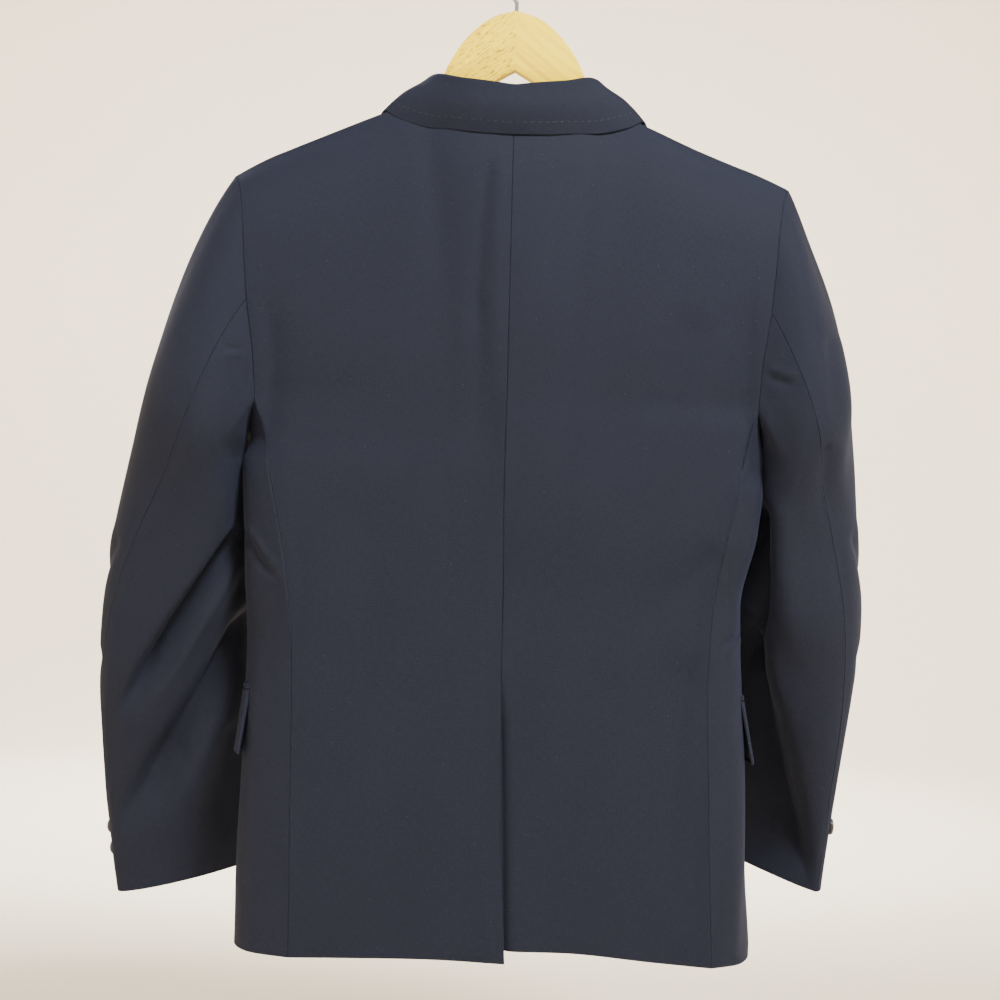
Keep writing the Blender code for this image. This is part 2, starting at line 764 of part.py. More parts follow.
def laid_point(tree, point, resting):
    """The point drawn onto the body, or only moved out of it, along a line from under the shoulder's ridge."""
    shoulder = np.array(SHOULDER)
    ridge = np.interp(abs(point[0]), shoulder[:, 0], shoulder[:, 2]) - right_drop(point[0])
    under = Vector((point[0], RIDGE_SET_BACK, ridge - UNDER_RIDGE))
    direction = (Vector(point) - under).normalized()
    hit = tree.ray_cast(under, direction)[0]
    if hit is None:
        return point
    need = (hit - under).length + COLLAR_LIFT + RIDGE_LIFT * max(direction.z, 0) ** 4
    reach = need if resting else max(need, (Vector(point) - under).length)
    return np.array(under + direction * reach)


def over_ridge(rail, cells):
    """A smooth rail in even steps, with half of the cells behind the shoulder's ridge and half before it."""
    fine = smooth(rail, 600)
    crossing = int(np.argmax(fine[:, 1] <= RIDGE_SET_BACK))
    half = cells // 2
    back = np.linspace(0, crossing, half + 1).round().astype(int)
    front = np.linspace(crossing, len(fine) - 1, cells - half + 1).round().astype(int)
    return fine[np.concatenate([back, front[1:]])]


def add_collar(tree):
    """The collar, folded over: its stand inside the neck, and its leaf that lies on the shoulders."""
    rails = [over_ridge(rail, COLLAR_CELLS) for rail in (COLLAR_STAND, COLLAR_FOLD, COLLAR_LEAF)]
    rows = []
    rise = np.array([0, 0, COLLAR_FOLD_RISE])
    for inside, top, edge in zip(*rails):
        edge = laid_point(tree, edge, True)
        out = unit((edge - inside) * (1, 1, 0))
        outer_fold = top + out * COLLAR_FOLD_WIDTH
        crown = (top + outer_fold) / 2 + (0, 0, COLLAR_CROWN)
        line = [inside + (top - inside) * t for t in COLLAR_STAND_STEPS]
        line += [top + rise, crown, outer_fold + rise]
        for t in COLLAR_LEAF_STEPS:
            point = outer_fold + (edge - outer_fold) * t + out * COLLAR_BELLY * math.sin(math.pi * t)
            line.append(laid_point(tree, point, False))
        rows.append(line + [edge])
    half = np.array(rows)
    grid = np.concatenate([half[::-1], half[1:] * (-1, 1, 1)])
    normals = normals_of(grid, 1)
    normals *= np.sign(normals[COLLAR_CELLS, -1, 1])
    add_wall("collar", grid, grid - normals * COLLAR_WALL)


def add_button(name, place, facing, across):
    """A sewn button: a disc with a rounded edge that faces the given way."""
    turn = Vector((0, 0, 1)).rotation_difference(Vector(facing)).to_euler()
    centre = Vector(place) + Vector(facing) * (GAP + BUTTON_THICK / 2)
    bpy.ops.mesh.primitive_cylinder_add(
        vertices=BUTTON_SIDES, radius=across / 2, depth=BUTTON_THICK, location=centre, rotation=turn
    )
    made = bpy.context.object
    made.name = name
    bevel = made.modifiers.new("rounded edge", "BEVEL")
    bevel.width = BUTTON_THICK * ROUNDED_SHARE
    bevel.segments = 1
    bevel.limit_method = "ANGLE"
    made.data.shade_smooth()
    return dress(made, BUTTON, 0.45)


def add_hanger():
    """Two wooden arms that meet in a mitre, and a steel hook."""
    for name, side in (("left", 1), ("right", -1)):
        curve = bpy.data.curves.new("hanger_arm_" + name, "CURVE")
        curve.dimensions = "2D"
        curve.fill_mode = "BOTH"
        curve.extrude = PLANK_THICK / 2
        top = smooth([(x, z, 0) for x, z in ARM_TOP], 20)
        bottom = smooth([(x, z, 0) for x, z in ARM_BOTTOM], 12)
        outline = np.concatenate([top, bottom])
        outline[:, 0] = np.maximum(outline[:, 0], GAP / 2) * side
        line = curve.splines.new("POLY")
        line.points.add(len(outline) - 1)
        line.use_cyclic_u = True
        for point, (x, z, _) in zip(line.points, outline):
            point.co = (x, z - float(right_drop(x)), 0, 1)
        guide = bpy.data.objects.new("guide", curve)
        bpy.context.scene.collection.objects.link(guide)
        guide.rotation_euler = Euler((math.pi / 2, 0, 0))
        bpy.context.view_layer.update()
        graph = bpy.context.evaluated_depsgraph_get()
        mesh = bpy.data.meshes.new_from_object(guide.evaluated_get(graph))
        made = bpy.data.objects.new("hanger_arm_" + name, mesh)
        made.matrix_world = guide.matrix_world
        made.location.y = PLANK_SET_BACK
        bpy.context.scene.collection.objects.link(made)
        bpy.data.objects.remove(guide)
        weld = made.modifiers.new("one skin", "WELD")
        weld.merge_threshold = 0.00002
        bevel = made.modifiers.new("rounded edges", "BEVEL")
        bevel.width = PLANK_THICK * ROUNDED_SHARE
        bevel.segments = 2
        bevel.limit_method = "ANGLE"
        bevel.angle_limit = math.radians(60)
        dress(made, PINE, 0.5)
    add_hook()


def add_hook():
    """A wire hook whose inside top is at the origin."""
    centre = WIRE / 2 - HOOK_RADIUS
    stem = [(0, ARM_TOP[0][1] + GAP), (0, HOOK_STEM_TOP)]
    turn = [math.radians(a) for a in range(HOOK_ARC[0], HOOK_ARC[1] + 1, HOOK_STEP)]
    arc = [(HOOK_RADIUS * math.cos(a), centre + HOOK_RADIUS * math.sin(a)) for a in turn]
    curve = bpy.data.curves.new("hanger_hook", "CURVE")
    curve.dimensions = "3D"
    curve.bevel_depth = WIRE / 2
    curve.bevel_resolution = 2
    curve.use_fill_caps = True
    line = curve.splines.new("POLY")
    line.points.add(len(stem + arc) - 1)
    for point, (x, z) in zip(line.points, stem + arc):
        point.co = (x, 0, z, 1)
    made = bpy.data.objects.new("hanger_hook", curve)
    bpy.context.scene.collection.objects.link(made)
    dress(made, STEEL, 0.3, 1.0)


def add_side(name, side, seams, panels):
    """Everything of one side but the back: side body, front, lapel, sleeve, pocket and cuff buttons."""
    front, side_body = panels["front", side], panels["side", side]
    sleeve = panels["sleeve", side]
    cells = HIND_ROW + SIDE_CELLS + FORE_ROW
    outer = trimmed(side_body, ("first_column", "last_column"))
    add_wall("side_" + name, outer, outer - seams.of(side_body) * BODY_WALL)
    outer = trimmed(front, ("first_column",))
    outer[-1] += unit(front[-2] - front[-1]) * SEAM_TRIM
    add_wall("front_" + name, outer, outer - seams.of(front) * BODY_WALL)
    for part, columns in (("sleeve_under_", slice(0, cells + 1)), ("sleeve_top_", slice(cells, None))):
        piece = sleeve[:, columns]
        outer = trimmed(piece, ("first_column", "last_column"))
        add_wall(part + name, outer, outer - seams.of(piece) * SLEEVE_WALL)
    add_lapel(tree_of([front]), name, side)
    add_pocket(Body(side_body, front, side), name)
    for level, rise in CUFF_BUTTON_RISES.items():
        height = sleeve[-1, 0, 2] + rise
        row = np.interp(-height, -sleeve[:, 0, 2], np.arange(len(sleeve)))
        low = int(row)
        column = CUFF_BUTTON_COLUMNS[side, level]
        line = sleeve[low:low + 2, column]
        place = line[0] + (line[1] - line[0]) * (row - low)
        facing = normals_of(sleeve, side)[low, column]
        add_button("cuff_button_" + level + "_" + name, place, facing, CUFF_BUTTON)


def add_backs(seams, panels):
    """The two halves of the back, and the right half's extension under the vent."""
    for name, side in (("left", 1), ("right", -1)):
        grid = panels["back", side]
        outer = trimmed(grid, ("first_column", "last_column", "last_row"))
        add_wall("back_" + name, outer, outer - seams.of(grid) * BODY_WALL)
    left = panels["back", 1]
    low = [r for r in range(len(left)) if left[r, 0, 2] < VENT_TOP]
    part = (slice(low[0], low[-1] + 1), slice(UNDERLAP_COLUMNS))
    strip = left[part].copy()
    facing = seams.of(left)[part]
    strip[0, :, 2] += UNDERLAP_SHORTER
    strip[:, 0, 0] += UNDERLAP_START
    outer = strip - facing * (BODY_WALL + UNDERLAP_CLEAR)
    add_wall("vent_underlap", outer, outer - facing * UNDERLAP_WALL)


def main():
    for made in list(bpy.data.objects):
        bpy.data.objects.remove(made)
    collection = bpy.data.collections.new("blazer")
    bpy.context.scene.collection.children.link(collection)
    seams = Seams()
    panels = {}
    for side in (1, -1):
        panels["back", side] = vent_step(back_grid(side), side)
        panels["side", side] = side_grid(side)
        panels["front", side] = front_grid(side)
        ring = armhole_ring(panels["back", side], panels["side", side], panels["front", side])
        panels["sleeve", side] = sleeve_grid(ring, side)
        for piece in ("back", "side", "front", "sleeve"):
            grid = panels[piece, side]
            seams.add(grid, normals_of(grid, side))
        inward = unit((ring.mean(axis=0) - ring) * (0, 1, 1))
        seams.fix(ring, -inward)
        seams.fix(panels["sleeve", side][0], -inward)
    add_backs(seams, panels)
    add_side("left", 1, seams, panels)
    add_side("right", -1, seams, panels)
    shell = tree_of([panels[piece, side] for piece in ("back", "side", "front") for side in (1, -1)])
    add_collar(shell)
    left_front = tree_of([panels["front", 1]])
    for level, height in FRONT_BUTTON_HEIGHTS.items():
        place = left_front.ray_cast(Vector((0, -0.3, height)), Vector((0, 1, 0)))[0]
        add_button("front_button_" + level, place, (0, -1, 0), FRONT_BUTTON)
    add_hanger()


main()
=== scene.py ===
import math

import bmesh
import bpy
import numpy as np
from mathutils import Euler, Matrix, Vector
from mathutils.bvhtree import BVHTree
from mathutils.kdtree import KDTree


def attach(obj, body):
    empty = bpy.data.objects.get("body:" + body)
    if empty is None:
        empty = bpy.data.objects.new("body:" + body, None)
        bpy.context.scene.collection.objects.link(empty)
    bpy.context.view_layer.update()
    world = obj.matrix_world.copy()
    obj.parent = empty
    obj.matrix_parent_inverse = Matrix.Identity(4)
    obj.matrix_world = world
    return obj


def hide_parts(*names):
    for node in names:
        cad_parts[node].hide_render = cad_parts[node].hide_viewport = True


bl_info = {
    "name": "Wool blazer on a hanger",
    "version": (1, 0, 0),
    "blender": (4, 5, 0),
    "location": "3D View > Sidebar > Blazer",
    "description": "Dresses the packed blazer with cloth, stitching, buttons, wood and steel",
    "category": "Object",
}

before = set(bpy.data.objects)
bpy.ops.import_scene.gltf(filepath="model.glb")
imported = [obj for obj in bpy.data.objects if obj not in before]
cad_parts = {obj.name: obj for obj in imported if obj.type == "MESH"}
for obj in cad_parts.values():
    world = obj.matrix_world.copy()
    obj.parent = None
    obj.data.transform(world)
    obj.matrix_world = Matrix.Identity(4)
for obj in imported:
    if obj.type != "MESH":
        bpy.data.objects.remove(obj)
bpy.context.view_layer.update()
BODY = "root"

# Sizes of the cut panels. They repeat the source of the solids, in metres.
# Cloth and seams
BODY_WALL = 0.0020
LAPEL_WALL = 0.0018
FLAP_WALL = 0.0020
GAP = 0.0003
# Heights, all below the hook
HEM = -0.871
UNDERARM = -0.402
VENT_TOP = -0.630
# How many cells each panel has
ROWS_BELOW_ARM = 15
ROWS_AT_ARM = 10
SIDE_CELLS = 8
SHOULDER_CELLS = 10
NECK_CELLS = 3
CAP_ROWS = 7
SLEEVE_ROWS = 14
HIND_ROW = 4
FORE_ROW = 3
# Lapels
LAPEL_ROWS = 14
LAPEL_CELLS = 8
LAPEL_CLEAR = 0.0005
LAPEL_BELLY = 0.0035
# Collar
COLLAR_CELLS = 16
COLLAR_FOLD_WIDTH = 0.0066
COLLAR_CROWN = 0.0022
COLLAR_FOLD_RISE = 0.0012
COLLAR_BELLY = 0.0030
COLLAR_STAND_STEPS = (0, 0.45, 0.9)
COLLAR_LEAF_STEPS = (0.12, 0.33, 0.55, 0.78)
# Vent
VENT_FADE = 0.08
VENT_REACH = 0.05
VENT_MIDDLE = -0.005
VENT_STAND_OFF = {1: 0.0016, -1: -0.0012}
UNDERLAP_COLUMNS = 4
UNDERLAP_SHORTER = 0.010
UNDERLAP_CLEAR = 0.0008
# Hanger
HOOK_STEM_TOP = -0.050
HOOK_ARC = (-60, 200)
PLANK_THICK = 0.011
PLANK_SET_BACK = 0.0015
WIRE = 0.0035
HOOK_RADIUS = 0.020
# Buttons. Those of a cuff lie this many columns before the hind seam, and this far above the hem.
CUFF_BUTTON_COLUMNS = {
    (1, "lower"): -3,
    (1, "upper"): -3,
    (-1, "lower"): -4,
    (-1, "upper"): -3,
}
ROUNDED_SHARE = 0.3
FRONT_BUTTON = 0.020
CUFF_BUTTON = 0.015
BUTTON_THICK = 0.0034
FRONT_BUTTON_HEIGHTS = {"top": -0.525, "lower": -0.635}
BUTTON_HOLE_PLACE = 0.2
BUTTON_HOLE_RADIUS = 0.11
CUFF_BUTTON_RISES = {"lower": 0.038, "upper": 0.058}
# A button's section from its middle over the rim to its back: shares of its half width and thickness
BUTTON_PROFILE = (
    (0.0, 0.62), (0.55, 0.62), (0.68, 0.72), (0.78, 0.96), (0.86, 1.0), (0.94, 0.94), (0.99, 0.76),
    (1.0, 0.5), (0.98, 0.24), (0.90, 0.06), (0.80, 0.0), (0.0, 0.0),
)
# Threads through a button: their radius, and how far each pair lies from the middle of its holes
THREAD_RADIUS = 0.00025
THREAD_APART = 0.00022
# How far the two edges of a buttonhole lie from its middle, and how far it starts before the button
BUTTONHOLE_EDGE = 0.0011
BUTTONHOLE_SHIFT = 0.003
# A place well before the fronts, from where lines are drawn back onto them
BEFORE_FRONT = -0.3
# Pocket flap, measured round the body from the back's seam
FLAP_START = 0.046
FLAP_LENGTH = 0.150
FLAP_TOP = -0.650
FLAP_HEIGHT = 0.055
FLAP_ROWS = 6
FLAP_CLEAR = 0.0008
FLAP_HEM_LIFT = 0.0020
FLAP_CORNER_LIFT = 0.0060
FLAP_CORNER_REACH = 0.45
JETTING_HEIGHT = 0.005
# Centre back, from the hem up: x, y, z
CENTRE_BACK_LOWER = (
    (-0.004, 0.053, HEM), (-0.001, 0.051, -0.770), (-0.001, 0.048, -0.640), (-0.001, 0.047, -0.560),
    (0, 0.051, -0.480), (0, 0.056, UNDERARM),
)
CENTRE_BACK_UPPER = (
    (0, 0.056, UNDERARM), (0, 0.058, -0.320), (0, 0.055, -0.250), (0, 0.046, -0.195),
    (0, 0.030, -0.157),
)
# Seam between back and side, then the back's edge at the armhole, from the hem up: x, y, z
BACK_SEAM = (
    (0.178, 0.047, HEM), (0.176, 0.046, -0.720), (0.176, 0.044, -0.612), (0.179, 0.044, -0.560),
    (0.185, 0.045, -0.520), (0.198, 0.044, -0.458), (0.213, 0.040, UNDERARM),
)
BACK_ARMHOLE = (
    (0.213, 0.040, UNDERARM), (0.2155, 0.043, -0.360), (0.220, 0.043, -0.330), (0.2245, 0.040, -0.290),
    (0.228, 0.034, -0.250), (0.2335, 0.018, -0.219), (0.239, 0, -0.206),
)
# Seam between side and front, then the front's edge at the armhole, from the hem up: x, y, z
FRONT_SEAM = (
    (0.190, -0.047, HEM), (0.183, -0.047, -0.720), (0.181, -0.046, -0.612), (0.183, -0.046, -0.560),
    (0.189, -0.047, -0.500), (0.205, -0.045, UNDERARM),
)
FRONT_ARMHOLE = (
    (0.205, -0.045, UNDERARM), (0.2005, -0.050, -0.365), (0.203, -0.046, -0.310),
    (0.212, -0.034, -0.258), (0.228, -0.014, -0.222), (0.239, 0, -0.206),
)
# Round the side from the back's seam to the front's: x, y, z
SIDE_HEM = (
    (0.178, 0.047, HEM), (0.207, 0.032, HEM), (0.2205, 0, HEM), (0.212, -0.032, HEM),
    (0.190, -0.047, HEM),
)
UNDERARM_CURVE = (
    (0.213, 0.040, UNDERARM), (0.2175, 0.022, -0.419), (0.219, 0, -0.426), (0.2145, -0.026, -0.416),
    (0.205, -0.045, UNDERARM),
)
# Back neckline and shoulder seam, outwards: x, y, z
BACK_NECK = ((0, 0.030, -0.157), (0.040, 0.026, -0.152), (0.080, 0.004, -0.137))
SHOULDER = (
    (0.080, 0.004, -0.137), (0.115, 0.003, -0.150), (0.155, 0.002, -0.1665), (0.187, 0.001, -0.180),
    (0.215, 0.001, -0.1925), (0.239, 0, -0.206),
)
# How much lower the right shoulder lies: distance from the middle, drop
RIGHT_DROP = (
    (0.000, 0.000), (0.080, 0.002), (0.115, 0.005), (0.155, 0.006), (0.187, 0.005), (0.215, 0.003),
    (0.239, 0.000),
)
# How far the lower half swings to the wearer's right, and how far each side fills out: height, distance
SWING = ((HEM, 0.0065), (-0.770, 0.0035), (-0.640, 0.0005), (-0.560, 0.000))
FULLNESS = {
    1: (
        (HEM, 0.010), (-0.800, 0.011), (-0.700, 0.009), (-0.600, 0.010), (-0.520, 0.008),
        (-0.450, 0.002), (UNDERARM, 0),
    ),
    -1: ((HEM, -0.005), (-0.800, -0.004), (-0.700, -0.002), (-0.600, 0)),
}
# Hem of each back panel from the centre out: x, y, drop below the hem
BACK_HEM = {
    1: (
        (-0.0040, 0.053, -0.001), (0.060, 0.053, -0.003), (0.125, 0.051, -0.002), (0.178, 0.047, 0),
    ),
    -1: (
        (-0.0040, 0.053, -0.011), (-0.060, 0.053, -0.011), (-0.125, 0.051, -0.005), (-0.178, 0.047, 0),
    ),
}
# Front edge from the curved quarter up to the break, then the roll line up to the neck: x, y, z
FRONT_EDGE = (
    (0.016, -0.0625, -0.846), (-0.002, -0.0625, -0.815), (-0.012, -0.0622, -0.775),
    (-0.017, -0.0620, -0.720), (-0.018, -0.0610, -0.560), (-0.018, -0.0625, -0.500),
    (-0.008, -0.0635, -0.455), (0.0075, -0.0625, UNDERARM),
)
ROLL_LINE = (
    (0.0075, -0.0625, UNDERARM), (0.030, -0.058, -0.320), (0.048, -0.049, -0.250),
    (0.060, -0.036, -0.198), (0.072, -0.016, -0.157), (0.080, 0.004, -0.137),
)
FRONT_HEM = (
    (0.190, -0.047, HEM), (0.150, -0.057, -0.872), (0.100, -0.0620, -0.873), (0.055, -0.0625, -0.870),
    (0.032, -0.0625, -0.861), (0.016, -0.0625, -0.846),
)
UNDER_FRONT_INSET = 0.0042
# Lapel outline as seen from the front: x, z. The right one comes out from under the left front.
LAPEL_STARTS = {
    1: ((-0.0170, -0.499), (-0.0130, -0.501)),
    -1: ((0.0040, -0.430), (0.0125, -0.454)),
}
LAPEL_ROLL = ((0.0080, -0.405), (0.0300, -0.320), (0.0470, -0.250), (0.0590, -0.205))
LAPEL_EDGE = ((0.0280, -0.420), (0.0700, -0.340), (0.1030, -0.275), (0.1230, -0.236))
# How far back the shoulder's ridge lies under the collar, where the lines that lay the collar start
# under it, and how far the collar's outside lies above the shoulder
RIDGE_SET_BACK = 0.003
UNDER_RIDGE = 0.045
COLLAR_LIFT = 0.0036
RIDGE_LIFT = 0.0012
# Collar, from the centre back round to the gorge: x, y, z
COLLAR_STAND = (
    (0, 0.0275, -0.1550), (0.040, 0.0226, -0.1504), (0.0765, 0.0025, -0.1385),
    (0.0700, -0.0180, -0.1580), (0.0590, -0.0370, -0.1930),
)
COLLAR_FOLD = (
    (0, 0.0340, -0.1325), (0.040, 0.0295, -0.1260), (0.0680, 0.0030, -0.1190),
    (0.0690, -0.0260, -0.1490), (0.0610, -0.0450, -0.1950),
)
COLLAR_LEAF = (
    (0, 0.0440, -0.1733), (0.035, 0.0425, -0.1710), (0.070, 0.0355, -0.1615), (0.097, 0.0180, -0.1530),
    (0.1150, 0.0030, -0.1490), (0.1200, -0.020, -0.1700), (0.1180, -0.034, -0.1900),
    (0.1110, -0.044, -0.2120),
)
# Sleeve sections from the arm down to the cuff. Turn is the angle of the width about Z.
# Hind is where the back seam lies, in degrees from the outer end towards the back.
# x, y and z are the middle; lift is how much higher the outer end is than the middle.
SLEEVE_COLUMNS = ("x", "y", "z", "width", "depth", "turn", "lift", "hind", "under")
SLEEVE_SECTIONS = {
    1: (
        (0.2680, -0.006, -0.436, 0.0470, 0.0660, 0, 0.030, 84, 150),
        (0.2775, -0.022, -0.500, 0.0585, 0.0600, 8, 0.018, 60, 158),
        (0.2850, -0.030, -0.575, 0.0665, 0.0490, 18, 0.006, 26, 166),
        (0.2880, -0.036, -0.655, 0.0660, 0.0400, 17, 0.000, 8, 172),
        (0.2870, -0.060, -0.735, 0.0660, 0.0310, 20, -0.004, 2, 176),
        (0.2830, -0.076, -0.800, 0.0660, 0.0260, 24, -0.008, 0, 178),
        (0.2790, -0.084, -0.831, 0.0660, 0.0230, 26, -0.012, 0, 178),
    ),
    -1: (
        (0.2600, -0.014, -0.436, 0.0415, 0.0680, 0, 0.030, 84, 150),
        (0.2605, -0.030, -0.500, 0.0495, 0.0620, 8, 0.018, 60, 158),
        (0.2615, -0.024, -0.575, 0.0590, 0.0500, 22, 0.006, 34, 166),
        (0.2545, -0.042, -0.650, 0.0600, 0.0400, 30, 0.000, 16, 172),
        (0.2465, -0.068, -0.730, 0.0620, 0.0310, 38, -0.004, 6, 176),
        (0.2470, -0.083, -0.785, 0.0640, 0.0250, 43, -0.010, 0, 178),
        (0.2455, -0.088, -0.811, 0.0650, 0.0220, 45, -0.014, 0, 178),
    ),
}
# The way that each sleeve leaves its armhole, given at the armhole's back, and half the armhole's depth
SLEEVE_HEADS = {1: (0.55, 0.28, -0.84), -1: (0.44, 0.26, -0.88)}
HALF_ARMHOLE = 0.045
# Folds of the sleeves, as troughs across them: side, height, angle, slope, width, depth.
# Each fades out this many degrees from its angle, and falls by slope times this far for each radian.
FOLD_SPREAD = 70
FOLD_FALL = 0.05
SLEEVE_FOLDS = (
    (1, -0.640, 90, 0.9, 0.030, 0.006),
    (1, -0.735, 80, 0.8, 0.026, 0.005),
    (1, -0.560, 240, -0.7, 0.030, 0.005),
    (-1, -0.600, 110, 0.8, 0.030, 0.006),
    (-1, -0.700, 100, 0.7, 0.026, 0.004),
    (-1, -0.560, 250, -0.7, 0.030, 0.005),
)
# Hanger arm as seen from the front, along the top out and the bottom back: x, z
ARM_TOP = (
    (0, -0.0590), (0.020, -0.0650), (0.040, -0.0810), (0.057, -0.1060), (0.067, -0.1320),
    (0.078, -0.1505), (0.090, -0.1560), (0.115, -0.1620), (0.155, -0.1785), (0.187, -0.1922),
    (0.212, -0.2035),
)
ARM_BOTTOM = (
    (0.214, -0.2080), (0.180, -0.2080), (0.130, -0.1990), (0.085, -0.1790), (0.045, -0.1450),
    (0.020, -0.1220), (0, -0.1100),
)


def unit(vectors):
    """Each vector at length one."""
    lengths = np.linalg.norm(vectors, axis=-1, keepdims=True)
    return vectors / np.maximum(lengths, 1e-9)


def smooth(points, cells):
    """Evenly spaced points along a smooth curve through the given ones."""
    points = np.array(points, float)
    steps = np.linalg.norm(np.diff(points, axis=0), axis=1)
    at = np.concatenate([[0], np.cumsum(steps)])
    slopes = np.gradient(points, at, axis=0)
    fine = np.linspace(0, at[-1], 40 * len(points))
    piece = np.clip(np.searchsorted(at, fine, side="right") - 1, 0, len(steps) - 1)
    length = steps[piece][:, None]
    t = ((fine - at[piece]) / steps[piece])[:, None]
    leave, arrive = length * slopes[piece], length * slopes[piece + 1]
    curve = hermite(points[piece], points[piece + 1], leave, arrive, t)
    run = np.concatenate([[0], np.cumsum(np.linalg.norm(np.diff(curve, axis=0), axis=1))])
    even = np.linspace(0, run[-1], cells + 1)
    return np.stack([np.interp(even, run, curve[:, i]) for i in range(curve.shape[1])], axis=1)


def sided(points, side):
    """Points of the wearer's left, turned over to the right where side is -1."""
    return np.array(points, float) * (side, 1, 1)


def joined(first, second):
    """Two curves that meet, as one."""
    return np.concatenate([first, second[1:]])


def sheet_between(bottom, top, first, last, fade):
    """A grid of rows between four edges. The top edge's own shape fades out downwards."""
    s = np.linspace(0, 1, len(bottom))[None, :, None]
    t = np.linspace(0, 1, len(first))[:, None, None]
    across = (1 - s) * first[:, None] + s * last[:, None]
    bottom_shape = bottom[None] - ((1 - s) * bottom[0] + s * bottom[-1])
    top_shape = top[None] - ((1 - s) * top[0] + s * top[-1])
    return across + (1 - t**fade) * bottom_shape + t**fade * top_shape


def normals_of(grid, side):
    """Unit normals that point out of the garment, one for each point of a grid."""
    along = np.gradient(grid, axis=1)
    up = np.gradient(grid, axis=0)
    return unit(np.cross(up, along)) * side


def right_drop(x):
    """How much lower the shoulder lies at this x than on the left."""
    table = np.array(RIGHT_DROP)
    return np.where(x < 0, np.interp(np.abs(x), table[:, 0], table[:, 1]), 0)


def dropped(points, side):
    """A curve of the shoulder turned to its side, and lowered on the right."""
    points = sided(points, side)
    points[:, 2] -= right_drop(points[:, 0])
    return points


def by_height(table, z):
    """A value read from a table of heights that run from the hem up."""
    table = np.array(table)
    return np.interp(z, table[:, 0], table[:, 1])


def swung(grid):
    """The grid with its lower half swung to the wearer's right, as it hangs."""
    grid[..., 0] -= by_height(SWING, grid[..., 2])
    return grid


def back_grid(side):
    """One half of the back, from the centre seam out and from the hem up."""
    lower = np.array(CENTRE_BACK_LOWER, float)
    hem = np.array([(x, y, HEM - drop) for x, y, drop in BACK_HEM[side]])
    lower[0] = hem[0]
    centre = joined(smooth(lower, ROWS_BELOW_ARM), smooth(CENTRE_BACK_UPPER, ROWS_AT_ARM))
    outer = joined(smooth(BACK_SEAM, ROWS_BELOW_ARM), smooth(BACK_ARMHOLE, ROWS_AT_ARM))
    top = joined(smooth(BACK_NECK, NECK_CELLS), smooth(SHOULDER, SHOULDER_CELLS))
    bottom = smooth(hem, NECK_CELLS + SHOULDER_CELLS)
    return swung(sheet_between(bottom, dropped(top, side), centre, sided(outer, side), 5))


def side_grid(side):
    """The side body, from the back's seam round to the front's."""
    bottom = smooth(SIDE_HEM, SIDE_CELLS)
    top = smooth(UNDERARM_CURVE, SIDE_CELLS)
    first = smooth(BACK_SEAM, ROWS_BELOW_ARM)
    last = smooth(FRONT_SEAM, ROWS_BELOW_ARM)
    grid = sheet_between(bottom, top, first, last, 2.5)
    belly = np.sin(np.linspace(0, math.pi, grid.shape[1]))[None, :]
    grid[..., 0] += by_height(FULLNESS[side], grid[..., 2]) * belly
    return swung(sided(grid, side))


def front_grid(side):
    """One front, from the side seam and armhole to the front edge and roll line."""
    first = joined(smooth(FRONT_SEAM, ROWS_BELOW_ARM), smooth(FRONT_ARMHOLE, ROWS_AT_ARM))
    last = joined(smooth(FRONT_EDGE, ROWS_BELOW_ARM), smooth(ROLL_LINE, ROWS_AT_ARM))
    bottom = smooth(FRONT_HEM, SHOULDER_CELLS)
    top = smooth(SHOULDER, SHOULDER_CELLS)[::-1]
    top[:, 2] -= right_drop(top[:, 0] * side)
    last[ROWS_BELOW_ARM:, 2] -= right_drop(last[-1, 0] * side) * np.linspace(0, 1, ROWS_AT_ARM + 1)
    grid = sheet_between(bottom, top, first, last, 5)
    if side < 0:
        toward_edge = np.linspace(0, 1, grid.shape[1])[None, :] ** 2
        rows = np.arange(len(grid))[:, None]
        below_neck = np.clip((len(grid) - 1 - rows) / ROWS_AT_ARM, 0, 1)
        grid[..., 1] += UNDER_FRONT_INSET * toward_edge * below_neck
    return swung(sided(grid, side))


def vent_step(grid, side):
    """The left half stands over the right one at the vent."""
    low = np.clip((VENT_TOP - grid[..., 2]) / VENT_FADE, 0, 1)
    near = np.clip(1 - np.abs(grid[..., 0] - VENT_MIDDLE) / VENT_REACH, 0, 1) ** 2
    grid[..., 1] += VENT_STAND_OFF[side] * low * near
    return grid


def sleeve_row(section, side):
    """The points of one section of a sleeve, round from the hind seam under the arm."""
    row = dict(zip(SLEEVE_COLUMNS, section))
    under_cells = HIND_ROW + SIDE_CELLS + FORE_ROW
    top_cells = 2 * ROWS_AT_ARM - HIND_ROW - FORE_ROW
    under = row["hind"] + row["under"] * np.arange(under_cells) / under_cells
    over = row["hind"] + row["under"] + (360 - row["under"]) * np.arange(top_cells + 1) / top_cells
    angle = np.radians(np.concatenate([under, over]))
    wide = row["width"] * np.cos(angle)
    deep = row["depth"] * np.sin(angle)
    turn = math.radians(row["turn"])
    x = row["x"] + wide * math.cos(turn) - deep * math.sin(turn)
    y = row["y"] + wide * math.sin(turn) + deep * math.cos(turn)
    z = row["z"] + row["lift"] * np.cos(angle)
    return np.stack([x * side, y, z], axis=1)


def armhole_ring(back, side_body, front):
    """The armhole, from the hind seam down, under the arm and round by the front."""
    back_edge = back[ROWS_BELOW_ARM:, -1]
    front_edge = front[ROWS_BELOW_ARM:, 0]
    down = back_edge[HIND_ROW::-1]
    up_to_seam = back_edge[:HIND_ROW - 1:-1]
    ring = joined(joined(down, side_body[-1]), front_edge)
    return joined(ring, up_to_seam)


